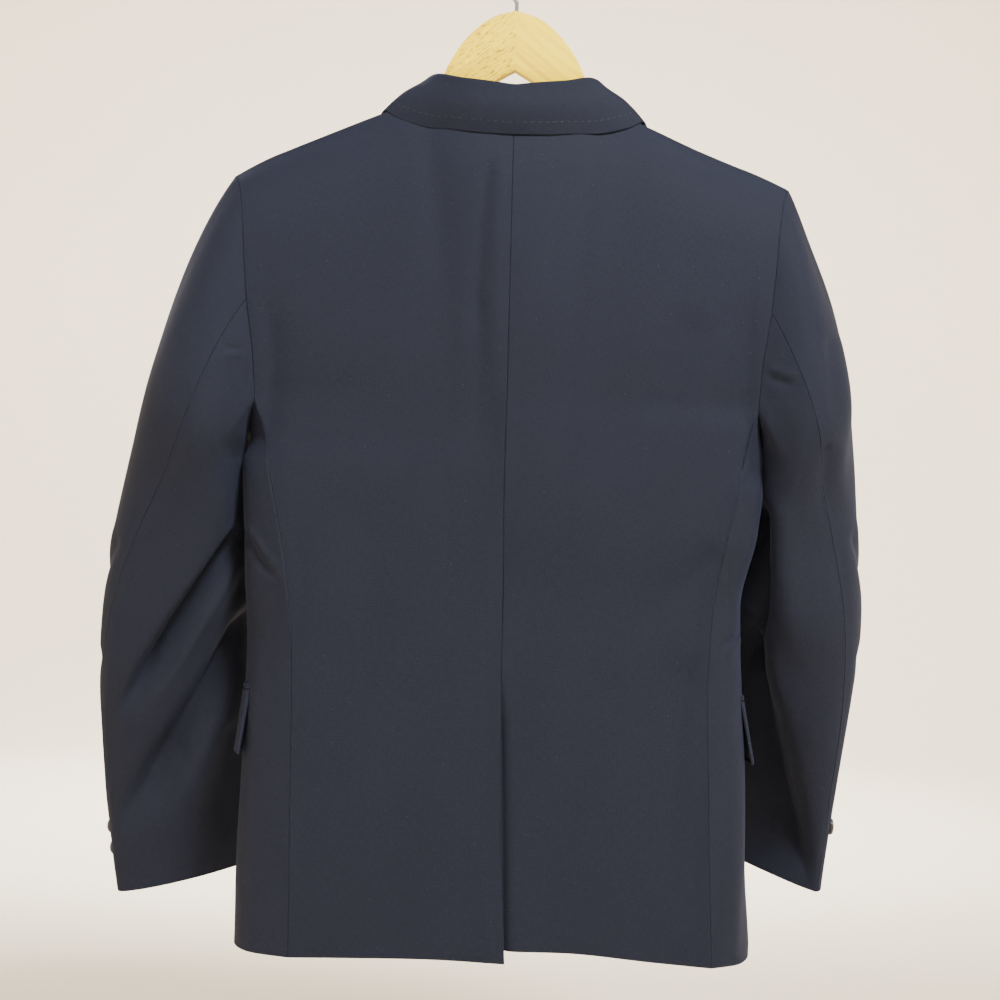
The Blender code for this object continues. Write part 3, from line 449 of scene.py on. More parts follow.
def sleeve_grid(ring, side):
    """A sleeve from the armhole down, one column more than its cells, since the last repeats the first."""
    sections = np.array(SLEEVE_SECTIONS[side])
    heights = sections[:, SLEEVE_COLUMNS.index("z")]
    even = np.linspace(heights[0], heights[-1], SLEEVE_ROWS + 1)
    columns = [np.interp(-even, -heights, sections[:, i]) for i in range(len(SLEEVE_COLUMNS))]
    rows = [sleeve_row(values, side) for values in rounded_rows(np.stack(columns, axis=1))]
    reach = np.linalg.norm(rows[0] - ring, axis=1)[:, None]
    away = np.tile(np.array(SLEEVE_HEADS[side]) * (side, 1, 1), (len(ring), 1))
    away[:, 1] *= ring[:, 1] / HALF_ARMHOLE
    leave, arrive = reach * unit(away), reach * unit(rows[1] - rows[0])
    cap = [hermite(ring, rows[0], leave, arrive, t) for t in np.arange(CAP_ROWS) / CAP_ROWS]
    return folded(np.array(cap + rows), side)


def rounded_rows(rows):
    """Table rows with their corners softened, the first and last kept."""
    soft = rows.copy()
    for _ in range(2):
        soft[1:-1] = (soft[:-2] + 2 * soft[1:-1] + soft[2:]) / 4
    return soft


def folded(grid, side):
    """Presses the sleeve's largest folds into a grid of its points."""
    middle = grid[:, :-1].mean(axis=1, keepdims=True)
    outward = unit((grid - middle) * (1, 1, 0))
    angle = np.degrees(np.arctan2(outward[..., 1], outward[..., 0] * side)) % 360
    for fold_side, height, toward, slope, width, depth in SLEEVE_FOLDS:
        if fold_side != side:
            continue
        turned = (angle - toward + 180) % 360 - 180
        line = grid[..., 2] - height - slope * np.radians(turned) * FOLD_FALL
        near = np.clip(1 - np.abs(turned) / FOLD_SPREAD, 0, 1)
        grid = grid - outward * (depth * near * np.exp(-((line / width) ** 2)))[..., None]
    return grid


class Body:
    """The rows of side and front together, to lay things on."""

    def __init__(self, side_body, front, side):
        below = ROWS_BELOW_ARM + 1
        self.rows = np.concatenate([side_body[:below], front[:below, 1:]], axis=1)
        self.heights = self.rows[:, :, 2].mean(axis=1)
        self.side = side

    def at(self, column, height):
        """The point of the outside at this height, on a column that may lie between two."""
        row = np.interp(height, self.heights, np.arange(len(self.heights)))
        low, near = (min(int(v), n - 2) for v, n in zip((row, column), self.rows.shape))
        pair = self.rows[low:low + 2]
        across = pair[:, near] + (pair[:, near + 1] - pair[:, near]) * (column - near)
        return across[0] + (across[1] - across[0]) * (row - low)

    def outward(self, column, height):
        """The unit normal of the outside there."""
        along = self.at(column + 0.3, height) - self.at(column - 0.3, height)
        up = self.at(column, height + 0.008) - self.at(column, height - 0.008)
        return unit(np.cross(up, along)) * self.side

    def column_at(self, distance, height):
        """The column that lies this far round from the back's seam."""
        columns = np.arange(self.rows.shape[1])
        row = np.array([self.at(c, height) for c in columns])
        run = np.concatenate([[0], np.cumsum(np.linalg.norm(np.diff(row, axis=0), axis=1))])
        return np.interp(distance, run, columns)


def laid_piece(body, columns, heights, lift):
    """A grid of points on the body, moved out by a lift that may differ from place to place."""
    grid = np.empty((len(heights), len(columns), 3))
    for r, height in enumerate(heights):
        for c, column in enumerate(columns):
            up, along = r / (len(heights) - 1), c / (len(columns) - 1)
            grid[r, c] = body.at(column, height) + body.outward(column, height) * lift(up, along)
    return grid


def tree_of(grids):
    """A search tree over the outside of some panels."""
    points, faces = [], []
    for grid in grids:
        start = len(points)
        rows, columns = grid.shape[:2]
        points += [Vector(p) for p in grid.reshape(-1, 3)]
        for r in range(rows - 1):
            for c in range(columns - 1):
                a = start + r * columns + c
                faces.append((a, a + 1, a + columns + 1, a + columns))
    return BVHTree.FromPolygons(points, faces)


def laid_point(tree, point, resting):
    """The point drawn onto the body, or only moved out of it, along a line from under the shoulder."""
    shoulder = np.array(SHOULDER)
    ridge = np.interp(abs(point[0]), shoulder[:, 0], shoulder[:, 2]) - right_drop(point[0])
    under = Vector((point[0], RIDGE_SET_BACK, ridge - UNDER_RIDGE))
    direction = (Vector(point) - under).normalized()
    hit = tree.ray_cast(under, direction)[0]
    if hit is None:
        return point
    need = (hit - under).length + COLLAR_LIFT + RIDGE_LIFT * max(direction.z, 0) ** 4
    reach = need if resting else max(need, (Vector(point) - under).length)
    return np.array(under + direction * reach)


def over_ridge(rail, cells):
    """A smooth rail in even steps, with half of its cells behind the shoulder's ridge and half before."""
    fine = smooth(rail, 600)
    crossing = int(np.argmax(fine[:, 1] <= RIDGE_SET_BACK))
    half = cells // 2
    back = np.linspace(0, crossing, half + 1).round().astype(int)
    front = np.linspace(crossing, len(fine) - 1, cells - half + 1).round().astype(int)
    return fine[np.concatenate([back, front[1:]])]


def lapel_grid(tree, side):
    """A lapel that lies on its front, from the roll line to the notch."""
    roll_start, edge_start = LAPEL_STARTS[side]
    roll = smooth([(x, 0, z) for x, z in (roll_start,) + LAPEL_ROLL], LAPEL_ROWS)
    edge = smooth([(x, 0, z) for x, z in (edge_start,) + LAPEL_EDGE], LAPEL_ROWS)
    grid = np.empty((LAPEL_ROWS + 1, LAPEL_CELLS + 1, 3))
    for r in range(LAPEL_ROWS + 1):
        for c in range(LAPEL_CELLS + 1):
            across = c / LAPEL_CELLS
            plan = roll[r] + (edge[r] - roll[r]) * across
            above = Vector((plan[0] * side, BEFORE_FRONT, plan[2]))
            hit = tree.ray_cast(above, Vector((0, 1, 0)))[0]
            if hit is None:
                hit = tree.find_nearest(above)[0]
            belly = LAPEL_BELLY * math.sin(math.pi * across) * r / LAPEL_ROWS
            grid[r, c] = (plan[0] * side, hit.y - LAPEL_WALL - LAPEL_CLEAR - belly, plan[2])
    return grid


def collar_grid(tree):
    """The collar, folded over: its stand inside the neck, and its leaf that lies on the shoulders."""
    rails = [over_ridge(rail, COLLAR_CELLS) for rail in (COLLAR_STAND, COLLAR_FOLD, COLLAR_LEAF)]
    rows = []
    rise = np.array([0, 0, COLLAR_FOLD_RISE])
    for inside, top, edge in zip(*rails):
        edge = laid_point(tree, edge, True)
        out = unit((edge - inside) * (1, 1, 0))
        outer_fold = top + out * COLLAR_FOLD_WIDTH
        crown = (top + outer_fold) / 2 + (0, 0, COLLAR_CROWN)
        line = [inside + (top - inside) * t for t in COLLAR_STAND_STEPS]
        line += [top + rise, crown, outer_fold + rise]
        for t in COLLAR_LEAF_STEPS:
            point = outer_fold + (edge - outer_fold) * t + out * COLLAR_BELLY * math.sin(math.pi * t)
            line.append(laid_point(tree, point, False))
        rows.append(line + [edge])
    half = np.array(rows)
    return np.concatenate([half[::-1], half[1:] * (-1, 1, 1)])


def collar_side(grid):
    """The sign that makes the collar's normals point out."""
    middle = len(grid) // 2
    return float(np.sign(normals_of(grid, 1)[middle, -1, 1]))


def pocket_grids(body):
    """The points of a pocket's jetting, and of its flap, which stands off at its lower back corner."""
    ends = [body.column_at(d, FLAP_TOP) for d in (FLAP_START, FLAP_START + FLAP_LENGTH)]
    between = list(range(math.ceil(ends[0] + 0.1), math.floor(ends[1] - 0.1) + 1))
    columns = [ends[0]] + between + [ends[1]]
    heights = np.linspace(FLAP_TOP - FLAP_HEIGHT, FLAP_TOP, FLAP_ROWS)

    def flap_lift(up, along):
        corner = (1 - up) * max(0.0, 1 - along / FLAP_CORNER_REACH)
        return FLAP_WALL + FLAP_CLEAR + FLAP_HEM_LIFT * (1 - up) + FLAP_CORNER_LIFT * corner

    strip = (FLAP_TOP + GAP, FLAP_TOP + JETTING_HEIGHT)
    return {
        "flap": laid_piece(body, columns, heights, flap_lift),
        "jetting": laid_piece(body, columns, strip, lambda up, along: FLAP_WALL + 2 * GAP),
    }


# The camera stands where the photo's did: 1.4 m from the cloth's back, where the picture is this wide
CAMERA_PLACE = (0.0033, 1.455, -0.4818)
CAMERA_DISTANCE = 1.4
PICTURE_WIDTH = 0.835
CAMERA_ROLL = math.radians(1.5)
# The floor's height, how far out it is flat, the bend up into the wall, and the wall's heights above it
FLOOR = -1.10
FLOOR_REACH = 2.8
FLOOR_BEND = 1.2
WALL_HEIGHTS = (2.4, 3.2)
FLOOR_TURNS = 64
# Lights on the blazer: place and size. They point at the middle of it.
LIGHTS = (("key", (-1.0, 1.7, 1.8), 0.8), ("fill", (1.9, 1.7, 0.1), 1.6), ("front", (0.8, -2.2, 1.0), 1.4))
LIT_PLACE = (0, 0, -0.45)
FRONT_SHARE = 0.5
# Lights on the backdrop: angle and share of the power. They stand this far out and up, and point
# down a little.
BACKDROP_SHARES = {0: 1.0, 90: 0.3, 180: 0.1, 270: 0.3}
BACKDROP_REACH = 1.3
BACKDROP_HEIGHT = 0.6
BACKDROP_DIP = -0.35
BACKDROP_SIZE = 1.6

# How finely each shell is drawn: cells for each cell of the solid, up and round
FINE = {
    "back": (10, 8),
    "front": (8, 6),
    "side": (10, 7),
    "sleeve": (12, 6),
    "collar": (4, 6),
    "lapel": (6, 4),
    "flap": (5, 4),
}
# Extra lines of points this far from each seam and hem, in metres
EDGE_LINES = (0.0004, 0.0009, 0.0016, 0.0028)

# Each view of the creases: the way that the cloth faces there, and the axis that runs across the view
VIEWS = {
    "behind": ((0, 1, 0), 0),
    "before": ((0, -1, 0), 0),
    "inside": ((-1, 0, 0), 1),
    "outside": ((1, 0, 0), 1),
}
# Creases of each view: a line from a0, z0 to a1, z1, where a is the axis across, bowed to its left by bow.
# Width is that of the trough, and so is depth, which is below zero for a swell. Ridge is the share of
# the depth that stands up on its right. Lean makes the left wall the steeper one, or the right wall
# where it is below zero.
CREASE_COLUMNS = ("a0", "z0", "a1", "z1", "bow", "width", "depth", "ridge", "lean")
CREASES = {
    ("sleeve", 1, "behind"): (
        (0.223, -0.508, 0.336, -0.684, 0.001, 0.0095, 0.0210, 0.45, 0.55),
        (0.214, -0.574, 0.343, -0.792, -0.005, 0.0140, 0.0170, 0.30, 0.35),
        (0.227, -0.430, 0.227, -0.600, 0.000, 0.0110, 0.0070, 0.0, 0.0),
        (0.217, -0.361, 0.242, -0.360, 0.000, 0.0028, 0.0018, 0.7, 0.0),
        (0.236, -0.680, 0.247, -0.801, 0.002, 0.0100, 0.0040, 0.2, 0.0),
        (0.262, -0.385, 0.300, -0.520, 0.004, 0.0160, 0.0016, 0.4, 0.0),
    ),
    ("sleeve", 1, "inside"): (
        (0.020, -0.380, 0.026, -0.640, 0.000, 0.0400, -0.0030, 0.0, 0.0),
    ),
    ("sleeve", 1, "outside"): (
        (0.010, -0.520, -0.050, -0.580, 0.004, 0.0090, 0.0026, 0.4, 0.0),
        (-0.010, -0.620, -0.066, -0.660, 0.003, 0.0100, 0.0024, 0.4, 0.0),
    ),
    ("sleeve", 1, "before"): (
        (0.232, -0.470, 0.318, -0.520, 0.004, 0.0090, 0.0035, 0.4, 0.0),
        (0.228, -0.540, 0.322, -0.610, -0.004, 0.0100, 0.0045, 0.4, 0.0),
        (0.232, -0.600, 0.300, -0.700, 0.003, 0.0080, 0.0030, 0.4, 0.0),
        (0.236, -0.690, 0.316, -0.760, 0.000, 0.0120, 0.0030, 0.3, 0.0),
    ),
    ("sleeve", -1, "behind"): (
        (-0.213, -0.369, -0.243, -0.381, 0.001, 0.0040, 0.0016, 0.7, 0.0),
        (-0.272, -0.330, -0.279, -0.425, 0.002, 0.0080, 0.0020, 0.4, 0.0),
        (-0.272, -0.425, -0.274, -0.500, 0.002, 0.0090, 0.0026, 0.4, 0.0),
        (-0.220, -0.470, -0.226, -0.640, 0.000, 0.0110, 0.0150, 0.2, -0.40),
        (-0.205, -0.570, -0.291, -0.850, 0.006, 0.0300, 0.0260, 0.1, -0.60),
    ),
    ("sleeve", -1, "inside"): (
        (0.020, -0.380, 0.026, -0.600, 0.000, 0.0400, -0.0030, 0.0, 0.0),
    ),
    ("sleeve", -1, "outside"): (
        (0.010, -0.500, -0.046, -0.560, 0.004, 0.0090, 0.0026, 0.4, 0.0),
        (-0.010, -0.600, -0.070, -0.650, 0.003, 0.0100, 0.0024, 0.4, 0.0),
    ),
    ("sleeve", -1, "before"): (
        (-0.222, -0.470, -0.300, -0.530, 0.004, 0.0090, 0.0035, 0.4, 0.0),
        (-0.218, -0.550, -0.300, -0.620, -0.004, 0.0100, 0.0045, 0.4, 0.0),
        (-0.222, -0.630, -0.288, -0.710, 0.003, 0.0090, 0.0030, 0.4, 0.0),
    ),
    ("body", 1, "behind"): (
        (0.214, -0.509, 0.186, -0.556, 0.003, 0.0032, 0.0026, 0.6, 0.0),
        (0.019, -0.185, 0.027, -0.360, 0.003, 0.0075, 0.0024, 0.5, 0.0),
        (0.028, -0.300, 0.022, -0.470, -0.002, 0.0100, 0.0020, 0.4, 0.0),
        (0.204, -0.470, 0.203, -0.290, 0.002, 0.0140, 0.0032, 0.0, 0.0),
        (0.120, -0.470, 0.100, -0.700, 0.006, 0.0300, 0.0016, 0.4, 0.0),
    ),
    ("body", -1, "behind"): (
        (-0.0010, -0.620, -0.0150, -1.010, 0.000, 0.0045, 0.0034, 0.0, 0.0),
        (-0.206, -0.475, -0.204, -0.290, 0.003, 0.0150, 0.0060, 0.0, 0.0),
        (-0.168, -0.315, -0.070, -0.490, 0.008, 0.0210, 0.0030, 0.4, 0.0),
        (-0.162, -0.600, -0.145, -0.850, 0.004, 0.0260, 0.0034, 0.3, 0.0),
        (-0.186, -0.515, -0.100, -0.620, 0.005, 0.0150, 0.0020, 0.4, 0.0),
        (-0.050, -0.190, -0.030, -0.320, 0.002, 0.0150, 0.0012, 0.4, 0.0),
        (-0.209, -0.592, -0.184, -0.603, 0.001, 0.0032, 0.0022, 0.6, 0.0),
    ),
    ("body", 1, "outside"): (
        (0.022, -0.430, 0.022, -0.620, 0.000, 0.0320, -0.0085, 0.0, 0.0),
    ),
    ("body", -1, "outside"): (
        (0.022, -0.395, 0.022, -0.570, 0.000, 0.0320, -0.0100, 0.0, 0.0),
    ),
    ("body", 1, "before"): (
        (0.120, -0.240, 0.060, -0.420, 0.006, 0.0160, 0.0015, 0.3, 0.0),
        (0.190, -0.380, 0.110, -0.440, 0.004, 0.0100, 0.0016, 0.4, 0.0),
        (0.180, -0.520, 0.060, -0.540, 0.004, 0.0120, 0.0014, 0.4, 0.0),
        (0.060, -0.560, 0.120, -0.800, -0.004, 0.0200, 0.0016, 0.3, 0.0),
    ),
    ("body", -1, "before"): (
        (-0.120, -0.240, -0.060, -0.420, -0.006, 0.0160, 0.0015, 0.3, 0.0),
        (-0.190, -0.390, -0.120, -0.440, 0.004, 0.0100, 0.0016, 0.4, 0.0),
        (-0.170, -0.530, -0.050, -0.545, 0.004, 0.0120, 0.0014, 0.4, 0.0),
        (-0.070, -0.560, -0.110, -0.780, 0.004, 0.0200, 0.0014, 0.3, 0.0),
    ),
}

# Edges of a hanger arm nearer to the middle than this belong to the mitre
MITRE_REACH = 0.0005

# How much of a crease is left where the cloth turns away from its view, and how sharp the troughs are
CREASE_WRAP = 0.35
TROUGH_POWER = 1.6
# The shares of its width at which a crease starts and by which it widens, the shares of its length
# over which it rises and dies away, and how many widths from the trough its ridge lies
CREASE_START = 0.75
CREASE_WIDENS = 0.5
CREASE_RISE = 0.14
CREASE_FALL = 0.38
RIDGE_PLACE = 1.9
# Creases fade out over this width towards an armhole
ARMHOLE_CALM = 0.020
# Swells fade out over this width towards every edge, and the roll of an open edge over this height
EDGE_CALM = 0.012
OPEN_FADE = 0.01

# How far the leaf of the collar is pressed down at its edge, and over what width
COLLAR_PRESS = 0.0027
COLLAR_PRESS_REACH = 0.025
# How much of the right shoulder's drop its end of the leaf follows, and over what width
COLLAR_DROP_SHARE = 0.8
COLLAR_DROP_REACH = 0.050
# The share of the swells that the collar has, and how far its stitches lie above it
COLLAR_SWELL = 0.3
STITCH_LIFT = 0.00005

# Slow swells of the hanging cloth: lengths of the waves across and up, their height and their start
SWELLS = ((0.110, 0.230, 0.0006, 0.3), (0.071, 0.310, 0.0004, 2.1), (0.190, 0.170, 0.0003, 4.0))
# Length of the same waves from front to back
SWELL_DEEP = 0.08

# Slubs of the wool: width and length. Lint: one speck to a cell of this size, how near to the cell's
# middle it reaches as a share of the cell, the share of the cells that have one, and how much it shows.
SLUB_WIDTH = 0.0010
SLUB_LENGTH = 0.0050
LINT_CELL = 0.008
LINT_SIZE = 0.05
LINT_SHARE = 0.4
LINT_STRENGTH = 0.09
# How steeply the arms and their grain run down from the middle, in degrees
ARM_SLOPE = 38
# How much the torn streaks of the left arm show
TORN_STRENGTH = 0.9


def hermite(first, last, leave, arrive, t):
    """Points between two others on a curve with the given slopes."""
    return (
        (2 * t**3 - 3 * t**2 + 1) * first
        + (t**3 - 2 * t**2 + t) * leave
        + (3 * t**2 - 2 * t**3) * last
        + (t**3 - t**2) * arrive
    )


def refined(grid, rows, columns):
    """The grid's surface read at other rows and columns, along smooth curves through its points."""
    for axis, places in ((0, rows), (1, columns)):
        points = np.moveaxis(grid, axis, 0)
        slopes = np.gradient(points, axis=0)
        low = np.clip(places.astype(int), 0, len(points) - 2)
        t = (places - low)[:, None, None]
        fine = hermite(points[low], points[low + 1], slopes[low], slopes[low + 1], t)
        grid = np.moveaxis(fine, 0, axis)
    return grid


def places_along(grid, axis, fine, edges):
    """Even places along the grid's cells, with closer ones beside the named lines."""
    lengths = np.linalg.norm(np.diff(grid, axis=axis), axis=-1).mean(axis=1 - axis)
    count = len(lengths)
    places = list(np.linspace(0, count, count * fine + 1))
    for edge in edges:
        for step in EDGE_LINES:
            for way, cell in ((-1, max(edge - 1, 0)), (1, min(edge, count - 1))):
                place = edge + way * step / lengths[cell]
                if 0 < place < count:
                    places.append(place)
    return np.unique(np.round(places, 6))


def fine_grid(grid, fineness):
    """A piece's surface at its shell's own fineness, with closer lines beside all four edges."""
    rows, columns = (
        places_along(grid, axis, fineness[axis], (0, grid.shape[axis] - 1)) for axis in (0, 1))
    return refined(grid, rows, columns)


def away_from(grid, axis, end):
    """How far each point lies from an edge of the grid, along the cloth."""
    steps = np.linalg.norm(np.diff(grid, axis=axis), axis=-1)
    start = np.zeros_like(np.take(steps, [0], axis=axis))
    run = np.concatenate([start, np.cumsum(steps, axis=axis)], axis=axis)
    if end == 0:
        return run
    return np.take(run, [-1], axis=axis) - run


def rolled(distance, radius):
    """How deep a turned edge lies below the cloth at a distance from the edge."""
    inside = np.clip(radius - distance, 0, radius)
    return radius - np.sqrt(radius**2 - inside**2)


def eased(share):
    """A share brought between 0 and 1, with soft ends."""
    share = np.clip(share, 0, 1)
    return share**2 * (3 - 2 * share)


def creased(points, normals, facing, axis, rows):
    """How far the creases of one view move each point along its normal."""
    total = np.zeros(points.shape[:2])
    shown = np.clip(CREASE_WRAP + normals @ np.array(facing) * 2, 0, 1)
    plan = points[..., [axis, 2]]
    for values in rows:
        row = dict(zip(CREASE_COLUMNS, values))
        start = np.array([row["a0"], row["z0"]])
        along = np.array([row["a1"], row["z1"]]) - start
        length = np.linalg.norm(along)
        along = along / length
        t = (plan - start) @ along / length
        across = (plan - start) @ np.array([-along[1], along[0]]) - row["bow"] * 4 * t * (1 - t)
        wide = row["width"] * (CREASE_START + CREASE_WIDENS * np.clip(t, 0, 1))
        taper = eased(np.clip(t / CREASE_RISE, 0, 1) * np.clip((1 - t) / CREASE_FALL, 0, 1))
        trough = np.exp(-np.abs(across / wide / (1 - row["lean"] * np.sign(across))) ** TROUGH_POWER)
        ridge = np.exp(-(((across + RIDGE_PLACE * wide) / wide) ** 2))
        total += row["depth"] * taper * (row["ridge"] * ridge - trough)
    return total * shown


def swelling(points):
    """Slow swells of the cloth."""
    total = 0
    for across, up, height, start in SWELLS:
        phase = points[..., 0] / across + points[..., 1] / SWELL_DEEP + points[..., 2] / up
        total = total + height * np.sin(2 * math.pi * phase + start)
    return total


def cloth_uv(grid):
    """Places on the cloth in metres, across and up, for its weave."""
    across = away_from(grid, 1, 0)
    across = across - across[:, across.shape[1] // 2:across.shape[1] // 2 + 1]
    return np.stack([across, away_from(grid, 0, 0)], axis=-1)


def shell_of(name, outer, inner, uv):
    """A closed thin shell between two grids."""
    rows, columns = outer.shape[:2]
    count = rows * columns
    index = np.arange(count).reshape(rows, columns)
    cell = np.stack([index[:-1, :-1], index[:-1, 1:], index[1:, 1:], index[1:, :-1]], axis=-1)
    cell = cell.reshape(-1, 4)
    ring = np.concatenate([index[0], index[1:, -1], index[-1, -2::-1], index[-2:0:-1, 0]])
    after = np.roll(ring, -1)
    rim = np.stack([after, ring, ring + count, after + count], axis=1)
    faces = np.concatenate([cell, cell[:, ::-1] + count, rim])
    mesh = bpy.data.meshes.new(name)
    points = np.concatenate([outer.reshape(-1, 3), inner.reshape(-1, 3)])
    mesh.from_pydata(points.tolist(), [], faces.tolist())
    flat = np.concatenate([uv.reshape(-1, 2)] * 2)
    layer = mesh.uv_layers.new(name="cloth")
    layer.data.foreach_set("uv", flat[faces.ravel()].astype(np.float32).ravel())
    if volume_of(points, faces) < 0:
        mesh.flip_normals()
    mesh.shade_smooth()
    return new_object(name, mesh)


def new_object(name, data):
    """An object in the scene."""
    made = bpy.data.objects.new(name, data)
    bpy.context.scene.collection.objects.link(made)
    return made


def volume_of(points, faces):
    """The volume that the faces enclose, below zero where they point inwards."""
    a, b, c, d = (points[faces[:, i]] for i in range(4))
    return (np.cross(b, c) * a).sum() / 6 + (np.cross(c, d) * a).sum() / 6


def add_shell(name, grid, side, seams=(), hems=(), creases=(), swell=1.0, open_edge=None, armhole=None):
    """A panel's shell on its solid's form: edges turned in at seams and hems, with its creases.
    The open edge runs on flat below the top of the vent. Creases fade out at the armhole's edge."""
    settings = bpy.context.scene.blazer_cloth
    normals = seam_normals(grid, normals_of(grid, side)) if seams else normals_of(grid, side)
    ends = {"bottom": (0, 0), "top": (0, 1), "first": (1, 0), "last": (1, 1)}
    offset = np.zeros(grid.shape[:2])
    calm = np.ones(grid.shape[:2])
    fading = 1.0
    if armhole:
        away = away_from(grid, *ends[armhole])
        if armhole != "top":
            away = np.hypot(away, np.maximum(UNDERARM - grid[..., 2], 0))
        fading = eased(away / ARMHOLE_CALM)
    for names, radius in ((seams, settings.seam_roll), (hems, settings.hem_roll)):
        for edge in names:
            distance = away_from(grid, *ends[edge])
            opened = (VENT_TOP - grid[..., 2]) / OPEN_FADE if edge == open_edge else 0.0
            offset -= rolled(distance, radius) * np.clip(1 - opened, 0, 1)
            calm *= np.clip(distance / EDGE_CALM, 0, 1)
    for view in creases:
        offset += creased(grid, normals, *view) * fading
    offset += swelling(grid) * swell * calm
    outer = grid + normals * offset[..., None]
    return shell_of(name, outer, outer - normals * settings.wall, cloth_uv(grid))


def seam_normals(grid, normals):
    """The normals, shared between panels along their seams, so that two shells meet with no gap."""
    soft = normals.copy()
    rows, columns = grid.shape[:2]
    rim = [(r, c) for r in range(rows) for c in (0, columns - 1)]
    rim += [(r, c) for r in (0, rows - 1) for c in range(1, columns - 1)]
    for r, c in rim:
        near = SEAM_TREE.find_range(grid[r, c], SEAM_REACH)
        soft[r, c] = unit(sum(SEAM_NORMALS[index] for _, index, _ in near))
    return soft


def finish_piece(made, looks, slot, *nodes):
    """Gives a piece its material and body, and hides the nodes that it stands for. The slot is not used.
    """
    made.data.materials.clear()
    made.data.materials.append(looks)
    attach(made, BODY)
    if nodes:
        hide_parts(*nodes)


def linear(text, alpha=1.0):
    """A colour written as sRGB hex, as linear values."""
    parts = [int(text[i:i + 2], 16) / 255 for i in (1, 3, 5)]
    return tuple(c / 12.92 if c <= 0.04045 else ((c + 0.055) / 1.055) ** 2.4 for c in parts) + (alpha,)


def add_node(tree, kind, settings=(), **inputs):
    """Adds a node with its settings. Each input is a value or another node's output. Inputs that share
    a name are told apart by a number after it."""
    made = tree.nodes.new(kind)
    for name, value in dict(settings).items():
        setattr(made, name, value)
    for name, value in inputs.items():
        plain = name.rstrip("123")
        sockets = [s for s in made.inputs if s.name.replace(" ", "_").lower() == plain and s.enabled]
        set_input(tree, sockets[int(name[-1]) - 1 if name[-1].isdigit() else 0], value)
    return made


def set_input(tree, socket, value):
    """Gives an input a value, or links another node's output to it."""
    if isinstance(value, bpy.types.NodeSocket):
        tree.links.new(value, socket)
    else:
        socket.default_value = value


def reckoned(tree, operation, *values):
    """The output of a Math node over some values."""
    inputs = {f"value{place}": value for place, value in enumerate(values, 1)}
    return add_node(tree, "ShaderNodeMath", {"operation": operation}, **inputs).outputs[0]


def mixed(tree, factor, first, second):
    """The output of two colours mixed. Each is linear values or another node's output."""
    made = add_node(tree, "ShaderNodeMix", {"data_type": "RGBA"}, factor=factor)
    for socket, colour in zip((made.inputs[6], made.inputs[7]), (first, second)):
        set_input(tree, socket, colour if isinstance(colour, bpy.types.NodeSocket) else (*colour, 1)[:4])
    return made.outputs[2]


def noise_of(tree, place, stretch, detail, rough=0.5):
    """The value of a noise whose grain is scaled along each axis."""
    turned = add_node(tree, "ShaderNodeMapping", vector=place, scale=stretch).outputs["Vector"]
    noise = add_node(tree, "ShaderNodeTexNoise", vector=turned, scale=1.0, detail=detail, roughness=rough)
    return noise.outputs["Fac"]


def bumped(tree, shader, height, strength, distance):
    """Gives the shader a bump from a height."""
    bump = add_node(tree, "ShaderNodeBump", strength=strength, distance=distance, height=height)
    tree.links.new(bump.outputs["Normal"], shader.inputs["Normal"])


def new_material(name):
    """An empty material, its node tree and its Principled shader."""
    made = bpy.data.materials.new(name)
    made.use_nodes = True
    tree = made.node_tree
    return made, tree, tree.nodes["Principled BSDF"]


def band_scale(pitch):
    """The Wave Texture's scale that gives one band every pitch."""
    return 2 * math.pi / 20 / pitch


def worsted_wool():
    """Navy worsted: a close plain weave that looks matt, with a faint cool sheen where it turns away,
    slubs along both threads and a few pale specks of lint."""
    settings = bpy.context.scene.blazer_cloth
    made, tree, shader = new_material("navy worsted wool")
    place = add_node(tree, "ShaderNodeUVMap", {"uv_map": "cloth"}).outputs["UV"]
    pitch = band_scale(settings.thread_pitch)
    warp, weft = (
        add_node(tree, "ShaderNodeTexWave", {"bands_direction": direction}, vector=place, scale=pitch,
                 distortion=1.5, detail=1.0, detail_scale=0.6).outputs["Fac"] for direction in ("X", "Y"))
    fine, long = 1 / SLUB_WIDTH, 1 / SLUB_LENGTH
    slubs = [noise_of(tree, place, stretch, 2.0) for stretch in ((fine, long, 1), (long, fine, 1))]
    weave = reckoned(tree, "MULTIPLY", warp, weft)
    grain = reckoned(tree, "MULTIPLY_ADD", weave, 0.5, reckoned(tree, "ADD", *slubs))
    patch = add_node(tree, "ShaderNodeTexNoise", vector=place, scale=9.0, detail=3.0)
    shade = reckoned(tree, "MULTIPLY_ADD", patch.outputs["Fac"], 0.30, grain)
    ramp = add_node(tree, "ShaderNodeMapRange", value=shade, from_min=0.75, from_max=2.0)
    threads = mixed(tree, ramp.outputs["Result"], settings.dark_thread, settings.light_thread)
    spots = add_node(tree, "ShaderNodeTexVoronoi", vector=place, scale=1 / LINT_CELL, randomness=1.0)
    near = reckoned(tree, "LESS_THAN", spots.outputs["Distance"], LINT_SIZE)
    drawn = add_node(tree, "ShaderNodeSeparateColor", color=spots.outputs["Color"]).outputs["Red"]
    lint = reckoned(tree, "MULTIPLY", near, reckoned(tree, "GREATER_THAN", drawn, 1 - LINT_SHARE))
    faint = reckoned(tree, "MULTIPLY", lint, LINT_STRENGTH)
    tree.links.new(mixed(tree, faint, threads, linear("#a9adb8")), shader.inputs["Base Color"])
    bumped(tree, shader, grain, 0.35, 0.0004)
    shader.inputs["Roughness"].default_value = 0.85
    shader.inputs["Specular IOR Level"].default_value = 0.16
    shader.inputs["Sheen Weight"].default_value = settings.sheen
    shader.inputs["Sheen Roughness"].default_value = 0.5
    shader.inputs["Sheen Tint"].default_value = linear("#8490c4")
    return made


